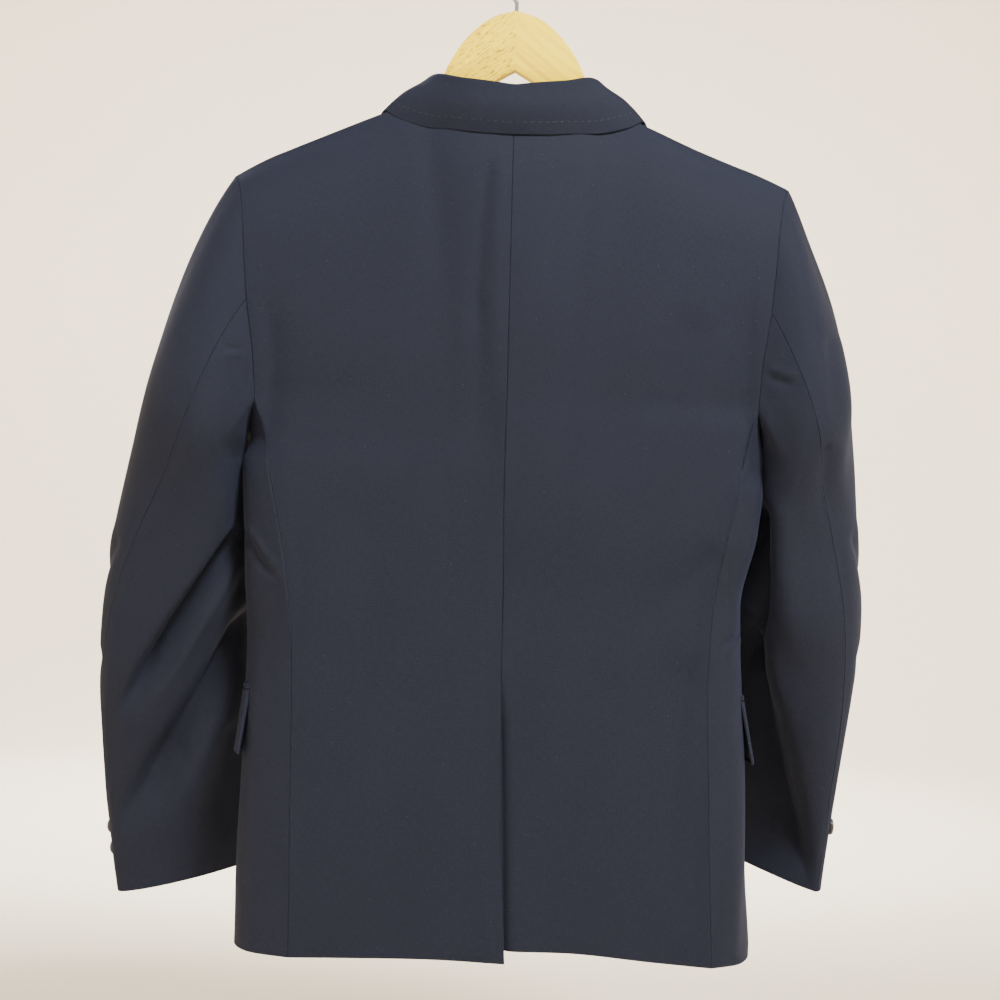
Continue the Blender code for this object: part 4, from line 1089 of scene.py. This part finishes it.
def thread_of(name, colour):
    """Twisted silk thread: a soft gleam along it, with fine slanting plies, and painted shade that darkens
    the grooves between them.
    """
    made, tree, shader = new_material(name)
    place = add_node(tree, "ShaderNodeTexCoord").outputs["Object"]
    turned = add_node(tree, "ShaderNodeMapping", vector=place, rotation=(0.5, 0.6, 0.7)).outputs["Vector"]
    plies_and_groove_shade = add_node(tree, "ShaderNodeTexWave", vector=turned, scale=band_scale(0.0005), distortion=1.0)
    plies_and_groove_shade = plies_and_groove_shade.outputs["Fac"]
    # Painted shade: the thread's colour falls to seven tenths in the grooves between the plies, where the
    # bump is lowest.
    tree.links.new(mixed(tree, plies_and_groove_shade, [c * 0.7 for c in colour], colour), shader.inputs["Base Color"])
    bumped(tree, shader, plies_and_groove_shade, 0.4, 0.0002)
    shader.inputs["Roughness"].default_value = 0.55
    return made


def navy_thread():
    """Thread in the colour of the cloth."""
    return thread_of("navy silk thread", linear("#1b1e2c")[:3])


def pale_thread():
    """Thread a little paler than the cloth, for stitches that show."""
    return thread_of("pale silk thread", bpy.context.scene.blazer_stitches.pale)


def corozo():
    """Turned corozo nut: dark brown-grey and polished, with cloudy growth bands and a soft gloss."""
    made, tree, shader = new_material("polished corozo button")
    place = add_node(tree, "ShaderNodeTexCoord").outputs["Object"]
    cloud = add_node(tree, "ShaderNodeTexNoise", vector=place, scale=160.0, detail=4.0, distortion=1.2)
    bands = add_node(
        tree, "ShaderNodeTexWave", vector=place, scale=band_scale(0.0024), distortion=6.0, detail=2.0)
    shade = reckoned(tree, "MULTIPLY", cloud.outputs["Fac"], bands.outputs["Fac"])
    ramp = add_node(tree, "ShaderNodeMapRange", value=shade, from_min=0.1, from_max=0.6)
    colour = mixed(tree, ramp.outputs["Result"], linear("#17161a"), linear("#3d3935"))
    tree.links.new(colour, shader.inputs["Base Color"])
    wear = add_node(tree, "ShaderNodeMapRange", value=cloud.outputs["Fac"], to_min=0.25, to_max=0.42)
    tree.links.new(wear.outputs["Result"], shader.inputs["Roughness"])
    shader.inputs["Coat Weight"].default_value = 0.2
    return made


def material_of(name, maker):
    """The named material, made once."""
    return bpy.data.materials.get(name) or maker()


def rows_for(part, side):
    """The creases of a part, view by view: the way that it faces, the axis across and the rows."""
    found = []
    for view, (facing, axis) in VIEWS.items():
        if (part, side, view) in CREASES:
            found.append(((facing[0] * side, facing[1], 0), axis, CREASES[part, side, view]))
    return found


def dress(node, grid, sign, held, rests_on, **options):
    """A solid's cloth shell, in wool."""
    made = add_shell(node + "_cloth", grid, sign, **options)
    finish_piece(made, material_of("navy worsted wool", worsted_wool), "navy_wool", node)


def coarse_panels(side):
    """The solids' own points of one side."""
    panels = {"back": vent_step(back_grid(side), side), "side": side_grid(side), "front": front_grid(side)}
    ring = armhole_ring(panels["back"], panels["side"], panels["front"])
    panels["sleeve"] = sleeve_grid(ring, side)
    return panels


def fine_panels(side):
    """Each panel's surface at the shell's own fineness, from the hem up, with the sign of its normals."""
    fore = HIND_ROW + SIDE_CELLS + FORE_ROW
    made = {}
    for part, grid in PANELS[side].items():
        up, across = FINE[part]
        rows_end, columns_end = (count - 1 for count in grid.shape[:2])
        rows = places_along(grid, 0, up, (0, rows_end))
        lines = (0, fore, columns_end) if part == "sleeve" else (0, columns_end)
        columns = places_along(grid, 1, across, lines)
        fine = refined(grid, rows, columns)
        if part == "sleeve":
            split = int(np.argmin(np.abs(columns - fore)))
            made["sleeve_under"] = fine[::-1, :split + 1], -side
            made["sleeve_top"] = fine[::-1, split:], -side
        else:
            made[part] = fine, side
    return made


def seam_tree(panels):
    """A search tree over the rims of all panels, and their normals."""
    points, facing = [], []
    for grid, sign in panels:
        for values, rims in ((grid, points), (normals_of(grid, sign), facing)):
            rims.extend([*values[0], *values[-1], *values[1:-1, 0], *values[1:-1, -1]])
    tree = KDTree(len(points))
    for index, point in enumerate(points):
        tree.insert(point, index)
    tree.balance()
    return tree, facing


PANELS = {side: coarse_panels(side) for side in (1, -1)}
SIDES = (("left", 1), ("right", -1))
FINE_PANELS = {side: fine_panels(side) for side in (1, -1)}
# Two panels share a seam where their rims are nearer than this
SEAM_REACH = 0.0025
SEAM_TREE, SEAM_NORMALS = seam_tree([made for side in (1, -1) for made in FINE_PANELS[side].values()])


class ClothSettings(bpy.types.PropertyGroup):
    """Sizes and colours of the cloth."""

    wall: bpy.props.FloatProperty(
        name="Cloth thickness", description="Thickness of the shells", default=0.0012, unit="LENGTH")
    seam_roll: bpy.props.FloatProperty(
        name="Seam roll", description="How wide the cloth turns in at a seam", default=0.0007,
        unit="LENGTH")
    hem_roll: bpy.props.FloatProperty(
        name="Hem roll", description="How wide the cloth turns in at a hem", default=0.0014, unit="LENGTH")
    thread_pitch: bpy.props.FloatProperty(
        name="Thread spacing", default=0.0016, unit="LENGTH",
        description="Drawn about three times as coarse as the real 0.5 mm, so that it shows")
    sheen: bpy.props.FloatProperty(
        name="Sheen", description="How strongly the nap catches the light", default=0.06, subtype="FACTOR")
    dark_thread: bpy.props.FloatVectorProperty(
        name="Dark thread", description="The darker navy of the weave",
        default=linear("#10131d")[:3], subtype="COLOR")
    light_thread: bpy.props.FloatVectorProperty(
        name="Light thread", description="The lighter navy of the weave",
        default=linear("#1c202e")[:3], subtype="COLOR")


class StitchSettings(bpy.types.PropertyGroup):
    """Sizes of the hand stitching."""

    inset: bpy.props.FloatProperty(
        name="Stitch inset", description="How far the collar's stitching lies from its edge",
        default=0.0115, unit="LENGTH")
    pitch: bpy.props.FloatProperty(
        name="Stitch spacing", description="From one stitch to the next", default=0.0062, unit="LENGTH")
    length: bpy.props.FloatProperty(
        name="Stitch length", description="Length of one stitch", default=0.0030, unit="LENGTH")
    thread: bpy.props.FloatProperty(
        name="Thread thickness", description="Thickness of the thread", default=0.00034, unit="LENGTH")
    unevenness: bpy.props.FloatProperty(
        name="Unevenness", description="Share by which stitches differ", default=0.55, subtype="FACTOR")
    buttonhole: bpy.props.FloatProperty(
        name="Buttonhole", description="Length of a front buttonhole", default=0.022, unit="LENGTH")
    pale: bpy.props.FloatVectorProperty(
        name="Pale thread", description="Thread of the collar's stitching",
        default=linear("#2a2d38")[:3], subtype="COLOR")


class HangerSettings(bpy.types.PropertyGroup):
    """Colours of the hanger."""

    light_wood: bpy.props.FloatVectorProperty(
        name="Light wood", description="The wood between its grain",
        default=linear("#f3d500")[:3], subtype="COLOR")
    dark_wood: bpy.props.FloatVectorProperty(
        name="Dark wood", description="The wood's grain", default=linear("#e2ba00")[:3], subtype="COLOR")
    grain: bpy.props.FloatProperty(
        name="Grain width", description="From one line of the grain to the next", default=0.0035,
        unit="LENGTH")


class StageSettings(bpy.types.PropertyGroup):
    """Light and floor."""

    floor: bpy.props.FloatVectorProperty(
        name="Floor", description="Colour of the floor", default=linear("#ddd0ba")[:3], subtype="COLOR")
    key: bpy.props.FloatProperty(
        name="Key light", description="Power of the main light", default=245.0, unit="POWER")
    fill: bpy.props.FloatProperty(
        name="Fill light", description="Power of the second light", default=22.0, unit="POWER")
    backdrop: bpy.props.FloatProperty(
        name="Backdrop light", description="Power of the strongest light that shines on the backdrop",
        default=210.0, unit="POWER")
    ambient: bpy.props.FloatProperty(
        name="Ambient light", description="Light from all round", default=0.06)


class BlazerOperator:
    """What the operators share."""

    bl_options = {"REGISTER", "UNDO"}

    def execute(self, context):
        self.make(context)
        return {"FINISHED"}


class BLAZER_OT_backs(BlazerOperator, bpy.types.Operator):
    """Makes the two halves of the back and the underlap of the vent"""

    bl_idname = "blazer.backs"
    bl_label = "Back"

    def make(self, context):
        for name, side in SIDES:
            dress(
                "back_" + name, *FINE_PANELS[side]["back"], "hung", ["hanger_arm_" + name],
                seams=("first", "last", "top"), hems=("bottom",), creases=rows_for("body", side),
                armhole="last", open_edge="first" if side < 0 else None)
        left, right = PANELS[1]["back"], PANELS[-1]["back"]
        low = np.s_[:np.argmax(left[:, 0, 2] > VENT_TOP), :UNDERLAP_COLUMNS]
        strip = left[low] - normals_of(left, 1)[low] * (BODY_WALL + UNDERLAP_CLEAR)
        strip[:, 0] = right[low][:, 0]
        strip[0, 1:, 2] += UNDERLAP_SHORTER
        dress(
            "vent_underlap", fine_grid(strip, FINE["back"]), 1, "hung", ["back_left_cloth"],
            hems=("bottom", "last"), creases=rows_for("body", -1), swell=0.5)


class BLAZER_OT_sides(BlazerOperator, bpy.types.Operator):
    """Makes the side bodies"""

    bl_idname = "blazer.sides"
    bl_label = "Sides"

    def make(self, context):
        for name, side in SIDES:
            dress(
                "side_" + name, *FINE_PANELS[side]["side"], "hung", ["back_" + name + "_cloth"],
                seams=("first", "last", "top"), hems=("bottom",), creases=rows_for("body", side),
                armhole="top")


class BLAZER_OT_fronts(BlazerOperator, bpy.types.Operator):
    """Makes the two fronts, left over right"""

    bl_idname = "blazer.fronts"
    bl_label = "Fronts"

    def make(self, context):
        for name, side in SIDES:
            dress(
                "front_" + name, *FINE_PANELS[side]["front"], "hung", ["hanger_arm_" + name],
                seams=("first", "top"), hems=("bottom", "last"), creases=rows_for("body", side),
                armhole="first")


class BLAZER_OT_sleeves(BlazerOperator, bpy.types.Operator):
    """Makes the two-piece sleeves"""

    bl_idname = "blazer.sleeves"
    bl_label = "Sleeves"

    def make(self, context):
        for name, side in SIDES:
            for part in ("sleeve_under", "sleeve_top"):
                dress(
                    part + "_" + name, *FINE_PANELS[side][part], "hung", ["back_" + name + "_cloth"],
                    seams=("first", "last", "top"), hems=("bottom",), creases=rows_for("sleeve", side),
                    armhole="top")


class BLAZER_OT_lapels(BlazerOperator, bpy.types.Operator):
    """Makes the turned-back lapels"""

    bl_idname = "blazer.lapels"
    bl_label = "Lapels"

    def make(self, context):
        for name, side in SIDES:
            grid = lapel_grid(tree_of([PANELS[side]["front"]]), side)
            dress(
                "lapel_" + name, fine_grid(grid, FINE["lapel"]), side, "folded",
                ["front_" + name + "_cloth"], hems=("bottom", "top", "first", "last"), swell=0.5)


class BLAZER_OT_collar(BlazerOperator, bpy.types.Operator):
    """Makes the folded collar and its pale stitching"""

    bl_idname = "blazer.collar"
    bl_label = "Collar"

    def make(self, context):
        shell = tree_of([PANELS[side][part] for part in ("back", "side", "front") for side in (1, -1)])
        fine = fine_grid(collar_grid(shell), FINE["collar"])
        near_edge = np.clip(1 - away_from(fine, 1, 1) / COLLAR_PRESS_REACH, 0, 1)[..., None]
        fine = fine - normals_of(fine, collar_side(fine)) * COLLAR_PRESS * near_edge
        near_shoulder = np.clip(1 - away_from(fine, 1, 1) / COLLAR_DROP_REACH, 0, 1)
        fine[..., 2] -= right_drop(fine[..., 0]) * COLLAR_DROP_SHARE * near_shoulder
        dress(
            "collar", fine, collar_side(fine), "folded", ["back_left_cloth", "back_right_cloth"],
            hems=("bottom", "top", "last"), swell=COLLAR_SWELL)
        settings = context.scene.blazer_stitches
        out = normals_of(fine, collar_side(fine))
        away = away_from(fine, 1, 1)
        path = []
        for r in range(len(fine)):
            c = int(np.argmin(np.abs(away[r] - settings.inset)))
            path.append(fine[r, c] + out[r, c] * (swelling(fine[r, c]) * COLLAR_SWELL + STITCH_LIFT))
        thread = material_of("pale silk thread", pale_thread)
        stitch("collar_stitches", [path], thread, 3, Pitch=settings.pitch, Length=settings.length,
               Thickness=settings.thread, Unevenness=settings.unevenness)


class BLAZER_OT_pockets(BlazerOperator, bpy.types.Operator):
    """Makes the hip pockets' jettings and flaps"""

    bl_idname = "blazer.pockets"
    bl_label = "Pockets"

    def make(self, context):
        for name, side in SIDES:
            body = Body(PANELS[side]["side"], PANELS[side]["front"], side)
            for part, grid in pocket_grids(body).items():
                dress(
                    "pocket_" + part + "_" + name, fine_grid(grid, FINE["flap"]), side, "hung",
                    ["front_" + name + "_cloth"], hems=("bottom", "top", "first", "last"), swell=0.0)


def button_meshes(across):
    """A button that faces up, with a raised rim round a shallow dish, and four rods to cut its holes."""
    half = across / 2
    made = bmesh.new()
    line = [made.verts.new((half * out, 0, BUTTON_THICK * up)) for out, up in BUTTON_PROFILE]
    edges = [made.edges.new(pair) for pair in zip(line, line[1:])]
    bmesh.ops.spin(made, geom=line + edges, cent=(0, 0, 0), axis=(0, 0, 1), angle=2 * math.pi, steps=48)
    bmesh.ops.remove_doubles(made, verts=made.verts, dist=1e-6)
    bmesh.ops.recalc_face_normals(made, faces=made.faces)
    rods = bmesh.new()
    place, radius = half * BUTTON_HOLE_PLACE, half * BUTTON_HOLE_RADIUS
    for x, y in ((place, place), (-place, place), (-place, -place), (place, -place)):
        bmesh.ops.create_cone(
            rods, cap_ends=True, segments=20, radius1=radius, radius2=radius, depth=BUTTON_THICK * 3,
            matrix=Matrix.Translation((x, y, BUTTON_THICK / 2)))
    meshes = []
    for name, shape in (("button", made), ("button holes", rods)):
        meshes.append(bpy.data.meshes.new(name))
        shape.to_mesh(meshes[-1])
        shape.free()
    return meshes


def sew_button(name, place, facing, across, node):
    """A button on its own place, with thread crossed through its holes."""
    turn = Vector((0, 0, 1)).rotation_difference(Vector(facing)).to_matrix().to_4x4()
    matrix = Matrix.Translation(Vector(place) + Vector(facing) * GAP) @ turn
    body_mesh, cutter_mesh = button_meshes(across)
    body = new_object(name, body_mesh)
    cutter = new_object(name + "_holes", cutter_mesh)
    cut = body.modifiers.new("holes", "BOOLEAN")
    cut.object = cutter
    body = mesh_from(body, name)
    bpy.data.objects.remove(cutter)
    body.data.transform(matrix)
    body.data.shade_smooth()
    body.data.set_sharp_from_angle(angle=math.radians(40))
    finish_piece(body, material_of("polished corozo button", corozo), "dark_button", node)
    far = across / 2 * BUTTON_HOLE_PLACE
    bottom, top = BUTTON_THICK * 0.3, BUTTON_THICK * BUTTON_PROFILE[0][1] + 0.0003
    run = ((1.0, bottom), (0.97, top), (0.4, top + THREAD_RADIUS))
    run += tuple((-share, z) for share, z in reversed(run))
    paths = []
    for x, y in ((far, far), (far, -far)):
        for shift in (-THREAD_APART, THREAD_APART):
            aside = Vector((-y, x, 0)).normalized() * shift
            paths.append([matrix @ (Vector((x * share, y * share, z)) + aside) for share, z in run])
    thread = tube(name + "_thread", paths, THREAD_RADIUS, 8)
    finish_piece(thread, material_of("navy silk thread", navy_thread), "navy_wool")


def curve_of(name, paths):
    """A curve with one straight-edged line along each path."""
    curve = bpy.data.curves.new(name, "CURVE")
    curve.dimensions = "3D"
    for path in paths:
        line = curve.splines.new("POLY")
        line.points.add(len(path) - 1)
        for point, place in zip(line.points, path):
            point.co = (*place, 1)
    return curve


def tube(name, paths, radius, sides):
    """Round smooth rods along paths, with closed ends."""
    curve = curve_of(name, paths)
    curve.bevel_depth = radius
    curve.bevel_resolution = sides // 4
    curve.use_fill_caps = True
    made = mesh_from(new_object(name + "_guide", curve), name)
    made.data.shade_smooth()
    return made


def mesh_from(guide, name):
    """The guide's evaluated shape as a plain mesh at the origin. The guide goes."""
    bpy.context.view_layer.update()
    graph = bpy.context.evaluated_depsgraph_get()
    mesh = bpy.data.meshes.new_from_object(guide.evaluated_get(graph))
    mesh.transform(guide.matrix_world)
    mesh.name = name
    made = new_object(name, mesh)
    bpy.data.objects.remove(guide)
    return made


def stitch_tree():
    """Stitches along a curve: one small spindle of thread every pitch, each a little different."""
    tree = bpy.data.node_groups.get("thread stitches")
    if tree:
        return tree
    tree = bpy.data.node_groups.new("thread stitches", "GeometryNodeTree")
    for name, kind in (
        ("Path", "Geometry"), ("Pitch", "Float"), ("Length", "Float"), ("Thickness", "Float"),
        ("Unevenness", "Float"), ("Across", "Vector"), ("Seed", "Int"), ("Thread", "Material"),
    ):
        tree.interface.new_socket(name, in_out="INPUT", socket_type="NodeSocket" + kind)
    tree.interface.new_socket("Stitches", in_out="OUTPUT", socket_type="NodeSocketGeometry")
    given = tree.nodes.new("NodeGroupInput").outputs
    spaced = add_node(
        tree, "GeometryNodeResampleCurve", {"mode": "LENGTH"}, curve=given["Path"], length=given["Pitch"])
    tangent = add_node(tree, "GeometryNodeInputTangent")
    spindle = add_node(tree, "GeometryNodeMeshUVSphere", segments=8, rings=6, radius=0.5)
    direction = add_node(
        tree, "ShaderNodeVectorMath", {"operation": "ADD"}, vector1=tangent.outputs["Tangent"],
        vector2=given["Across"])
    turn = add_node(
        tree, "FunctionNodeAlignRotationToVector", {"axis": "X"}, vector=direction.outputs["Vector"])
    least = reckoned(tree, "SUBTRACT", 1.0, given["Unevenness"])
    most = reckoned(tree, "ADD", 1.0, given["Unevenness"])
    share = add_node(
        tree, "FunctionNodeRandomValue", {"data_type": "FLOAT"}, min1=least, max1=most, seed=given["Seed"])
    long = reckoned(tree, "MULTIPLY", given["Length"], share.outputs[1])
    size = add_node(tree, "ShaderNodeCombineXYZ", x=long, y=given["Thickness"], z=given["Thickness"])
    placed = add_node(
        tree, "GeometryNodeInstanceOnPoints", points=spaced.outputs["Curve"],
        instance=spindle.outputs["Mesh"], rotation=turn.outputs["Rotation"], scale=size.outputs["Vector"])
    real = add_node(tree, "GeometryNodeRealizeInstances", geometry=placed.outputs["Instances"])
    dressed = add_node(
        tree, "GeometryNodeSetMaterial", geometry=real.outputs["Geometry"], material=given["Thread"])
    end = tree.nodes.new("NodeGroupOutput")
    tree.links.new(dressed.outputs["Geometry"], end.inputs[0])
    return tree


def stitch(name, paths, thread, seed, **sizes):
    """A piece of stitches along some paths."""
    guide = new_object(name + "_guide", curve_of(name, paths))
    tree = stitch_tree()
    modifier = guide.modifiers.new("stitches", "NODES")
    modifier.node_group = tree
    values = {"Thread": thread, "Seed": seed, "Across": (0, 0, 0), **sizes}
    for item in tree.interface.items_tree:
        if item.in_out == "INPUT" and item.name in values:
            modifier[item.identifier] = values[item.name]
    made = mesh_from(guide, name)
    made.data.shade_smooth()
    finish_piece(made, thread, "navy_wool")


class BLAZER_OT_buttons(BlazerOperator, bpy.types.Operator):
    """Sews on the front and cuff buttons, and works the buttonholes of the front"""

    bl_idname = "blazer.buttons"
    bl_label = "Buttons"

    def make(self, context):
        settings = context.scene.blazer_stitches
        left = tree_of([PANELS[1]["front"]])
        edges = []
        for level, height in FRONT_BUTTON_HEIGHTS.items():
            centre = left.ray_cast(Vector((0, BEFORE_FRONT, height)), Vector((0, 1, 0)))[0]
            node = "front_button_" + level
            sew_button(node + "_sewn", centre, (0, -1, 0), FRONT_BUTTON, node)
            for rise in (-BUTTONHOLE_EDGE, BUTTONHOLE_EDGE):
                line = []
                for x in np.linspace(-BUTTONHOLE_SHIFT, settings.buttonhole - BUTTONHOLE_SHIFT, 12):
                    hit = left.ray_cast(Vector((x, BEFORE_FRONT, height + rise)), Vector((0, 1, 0)))[0]
                    line.append(hit + Vector((0, -0.0004, 0)))
                edges.append(line)
        stitch("buttonhole_edges", edges, material_of("navy silk thread", navy_thread), 7, Pitch=0.0007,
               Length=0.0022, Thickness=0.0006, Unevenness=0.12, Across=(0, 0, 50))
        for name, side in SIDES:
            sleeve = PANELS[side]["sleeve"]
            out = normals_of(sleeve, side)
            for level, rise in CUFF_BUTTON_RISES.items():
                column = CUFF_BUTTON_COLUMNS[side, level]
                row = np.interp(-(sleeve[-1, 0, 2] + rise), -sleeve[:, 0, 2], np.arange(len(sleeve)))
                low = int(row)
                line = sleeve[low:low + 2, column]
                place = line[0] + (line[1] - line[0]) * (row - low)
                node = "cuff_button_" + level + "_" + name
                sew_button(node + "_sewn", place, out[low, column], CUFF_BUTTON, node)


class BLAZER_OT_hanger(BlazerOperator, bpy.types.Operator):
    """Makes the wooden arms and the hook"""

    bl_idname = "blazer.hanger"
    bl_label = "Hanger"

    def make(self, context):
        for name, side in SIDES:
            top = smooth([(x, z, 0) for x, z in ARM_TOP], 80)
            bottom = smooth([(x, z, 0) for x, z in ARM_BOTTOM], 50)
            outline = np.concatenate([top, bottom])
            outline[:, 0] *= side
            outline[:, 1] -= right_drop(outline[:, 0])
            curve = curve_of("arm outline", [outline])
            curve.dimensions = "2D"
            curve.fill_mode = "BOTH"
            curve.extrude = PLANK_THICK / 2
            curve.splines[0].use_cyclic_u = True
            guide = new_object("guide", curve)
            guide.rotation_euler = Euler((math.pi / 2, 0, 0))
            guide.location.y = PLANK_SET_BACK
            made = mesh_from(guide, "hanger_arm_" + name + "_wood")
            round_edges(made.data)
            made.data.shade_smooth()
            made.data.set_sharp_from_angle(angle=math.radians(35))
            finish_piece(made, pine(name, side), "pine", "hanger_arm_" + name)
        centre = WIRE / 2 - HOOK_RADIUS
        path = [(0, 0, z) for z in np.linspace(ARM_TOP[0][1] + GAP, HOOK_STEM_TOP, 4)]
        for a in np.radians(np.arange(HOOK_ARC[0], HOOK_ARC[1] + 1, 4)):
            path.append((HOOK_RADIUS * math.cos(a), 0, centre + HOOK_RADIUS * math.sin(a)))
        made = tube("hanger_hook_wire", [path], WIRE / 2, 20)
        finish_piece(made, material_of("zinc plated steel wire", steel_wire), "steel_wire", "hanger_hook")


def round_edges(mesh):
    """Rounds the edges of an arm, all but those of the mitre."""
    made = bmesh.new()
    made.from_mesh(mesh)
    bmesh.ops.remove_doubles(made, verts=made.verts, dist=0.00002)
    sharp = [edge for edge in made.edges if edge.calc_face_angle(0) > math.radians(60)]
    sharp = [edge for edge in sharp if max(abs(end.co.x) for end in edge.verts) > MITRE_REACH]
    bmesh.ops.bevel(
        made, geom=sharp, offset=PLANK_THICK * ROUNDED_SHARE, segments=4, profile=0.5, affect="EDGES",
        clamp_overlap=True)
    made.to_mesh(mesh)
    made.free()


def pine(name, side):
    """Planed pine: pale yellow, with darker grain along each arm. The left arm's face is torn."""
    settings = bpy.context.scene.blazer_hanger
    made, tree, shader = new_material("varnished pine " + name)
    place = add_node(tree, "ShaderNodeTexCoord").outputs["Object"]
    along = (0, math.radians(-ARM_SLOPE * side), 0)
    turned = add_node(tree, "ShaderNodeMapping", vector=place, rotation=along).outputs["Vector"]
    lines, torn = (noise_of(tree, turned, stretch, detail, rough) for stretch, detail, rough in (
        ((12, 90, 1 / settings.grain), 4.0, 0.6), ((110, 300, 700), 3.0, 0.7)))
    ramp = add_node(tree, "ShaderNodeMapRange", value=lines, from_min=0.42, from_max=0.68)
    most = TORN_STRENGTH if side > 0 else 0.0
    mark = add_node(tree, "ShaderNodeMapRange", value=torn, from_min=0.54, from_max=0.64, to_max=most)
    wood = mixed(tree, ramp.outputs["Result"], settings.light_wood, settings.dark_wood)
    marked = mixed(tree, mark.outputs["Result"], wood, linear("#8f6a10"))
    tree.links.new(marked, shader.inputs["Base Color"])
    bumped(tree, shader, torn, 0.3, 0.0004)
    shader.inputs["Roughness"].default_value = 0.6
    shader.inputs["Specular IOR Level"].default_value = 0.15
    return made


def steel_wire():
    """Zinc plated steel wire: grey and bright, with dull spots."""
    made, tree, shader = new_material("zinc plated steel wire")
    place = add_node(tree, "ShaderNodeTexCoord").outputs["Object"]
    dull = add_node(tree, "ShaderNodeTexNoise", vector=place, scale=260.0, detail=3.0)
    spread = add_node(tree, "ShaderNodeMapRange", value=dull.outputs["Fac"], to_min=0.22, to_max=0.5)
    tree.links.new(spread.outputs["Result"], shader.inputs["Roughness"])
    shader.inputs["Base Color"].default_value = linear("#7c7e81")
    shader.inputs["Metallic"].default_value = 1.0
    return made


class BLAZER_OT_stage(BlazerOperator, bpy.types.Operator):
    """Makes the floor, the lights and the camera"""

    bl_idname = "blazer.stage"
    bl_label = "Stage"

    def make(self, context):
        settings = context.scene.blazer_stage
        add_floor(settings.floor)
        world = bpy.data.worlds.new("studio")
        world.use_nodes = True
        background = world.node_tree.nodes["Background"]
        background.inputs["Color"].default_value = (1.0, 0.98, 0.95, 1)
        background.inputs["Strength"].default_value = settings.ambient
        context.scene.world = world
        powers = {"key": settings.key, "fill": settings.fill, "front": settings.key * FRONT_SHARE}
        for name, place, size in LIGHTS:
            add_light(name, place, Vector(LIT_PLACE) - Vector(place), size, powers[name])
        for turn, share in BACKDROP_SHARES.items():
            out = Vector((math.sin(math.radians(turn)), -math.cos(math.radians(turn)), 0))
            place = out * BACKDROP_REACH + Vector((0, 0, BACKDROP_HEIGHT))
            aim = out + Vector((0, 0, BACKDROP_DIP))
            lamp = add_light("backdrop", place, aim, BACKDROP_SIZE, settings.backdrop * share)
            lamp.visible_camera = False
        view = bpy.data.cameras.new("camera")
        view.sensor_width = 36.0
        view.lens = 18.0 * CAMERA_DISTANCE / (0.5 * PICTURE_WIDTH)
        camera = new_object("camera", view)
        camera.location = CAMERA_PLACE
        upright = Matrix(((-1, 0, 0), (0, 0, 1), (0, 1, 0))).to_4x4()
        camera.rotation_euler = (upright @ Matrix.Rotation(CAMERA_ROLL, 4, "Z")).to_euler()
        context.scene.camera = camera


def add_floor(colour):
    """A round floor that bends up into a wall, as one turned sheet."""
    made, _, shader = new_material("painted floor")
    shader.inputs["Base Color"].default_value = (*colour, 1)
    shader.inputs["Roughness"].default_value = 0.9
    profile = [(r, 0.0) for r in (1.0, 2.0, FLOOR_REACH)]
    for a in np.radians(range(10, 91, 10)):
        profile.append((FLOOR_REACH + FLOOR_BEND * math.sin(a), FLOOR_BEND * (1 - math.cos(a))))
    profile += [(FLOOR_REACH + FLOOR_BEND, height) for height in WALL_HEIGHTS]
    around = [2 * math.pi * t / FLOOR_TURNS for t in range(FLOOR_TURNS)]
    points = [(r * math.cos(a), r * math.sin(a), FLOOR + z) for r, z in profile for a in around]
    points.append((0, 0, FLOOR))
    faces = [(len(points) - 1, t, (t + 1) % FLOOR_TURNS) for t in range(FLOOR_TURNS)]
    for ring in range(len(profile) - 1):
        for t in range(FLOOR_TURNS):
            a, b = (ring * FLOOR_TURNS + turn for turn in (t, (t + 1) % FLOOR_TURNS))
            faces.append((a, a + FLOOR_TURNS, b + FLOOR_TURNS, b))
    mesh = bpy.data.meshes.new("floor")
    mesh.from_pydata(points, [], faces)
    mesh.shade_smooth()
    mesh.materials.append(made)
    floor = new_object("floor", mesh)
    floor.visible_shadow = False


def add_light(name, place, aim, size, power):
    """A round light that shines the way that aim points."""
    light = bpy.data.lights.new(name, "AREA")
    light.shape = "DISK"
    light.size = size
    light.energy = power
    lamp = new_object(name, light)
    lamp.location = place
    lamp.rotation_euler = aim.to_track_quat("-Z", "Y").to_euler()
    return lamp


class BLAZER_PT_panel(bpy.types.Panel):
    """Lists the operators and their sizes"""

    bl_label = "Blazer"
    bl_idname = "BLAZER_PT_panel"
    bl_space_type = "VIEW_3D"
    bl_region_type = "UI"
    bl_category = "Blazer"

    def draw(self, context):
        for name in ("blazer_cloth", "blazer_stitches", "blazer_hanger", "blazer_stage"):
            group = getattr(context.scene, name)
            for setting in group.bl_rna.properties.keys():
                if setting not in ("rna_type", "name"):
                    self.layout.prop(group, setting)
        for kind in OPERATORS:
            self.layout.operator(kind.bl_idname)


OPERATORS = (
    BLAZER_OT_stage,
    BLAZER_OT_backs,
    BLAZER_OT_sides,
    BLAZER_OT_fronts,
    BLAZER_OT_sleeves,
    BLAZER_OT_lapels,
    BLAZER_OT_collar,
    BLAZER_OT_pockets,
    BLAZER_OT_buttons,
    BLAZER_OT_hanger,
)
GROUPS = {
    "blazer_cloth": ClothSettings,
    "blazer_stitches": StitchSettings,
    "blazer_hanger": HangerSettings,
    "blazer_stage": StageSettings,
}


def register():
    """Adds the operators, the panel and the settings."""
    for kind in (*GROUPS.values(), *OPERATORS, BLAZER_PT_panel):
        bpy.utils.register_class(kind)
    for name, kind in GROUPS.items():
        setattr(bpy.types.Scene, name, bpy.props.PointerProperty(type=kind))


def unregister():
    """Takes them away again."""
    for name in GROUPS:
        delattr(bpy.types.Scene, name)
    for kind in (BLAZER_PT_panel, *reversed(OPERATORS), *reversed(GROUPS.values())):
        bpy.utils.unregister_class(kind)


def main():
    register()
    for kind in OPERATORS:
        group, name = kind.bl_idname.split(".")
        getattr(getattr(bpy.ops, group), name)()


if __name__ == "__main__":
    main()
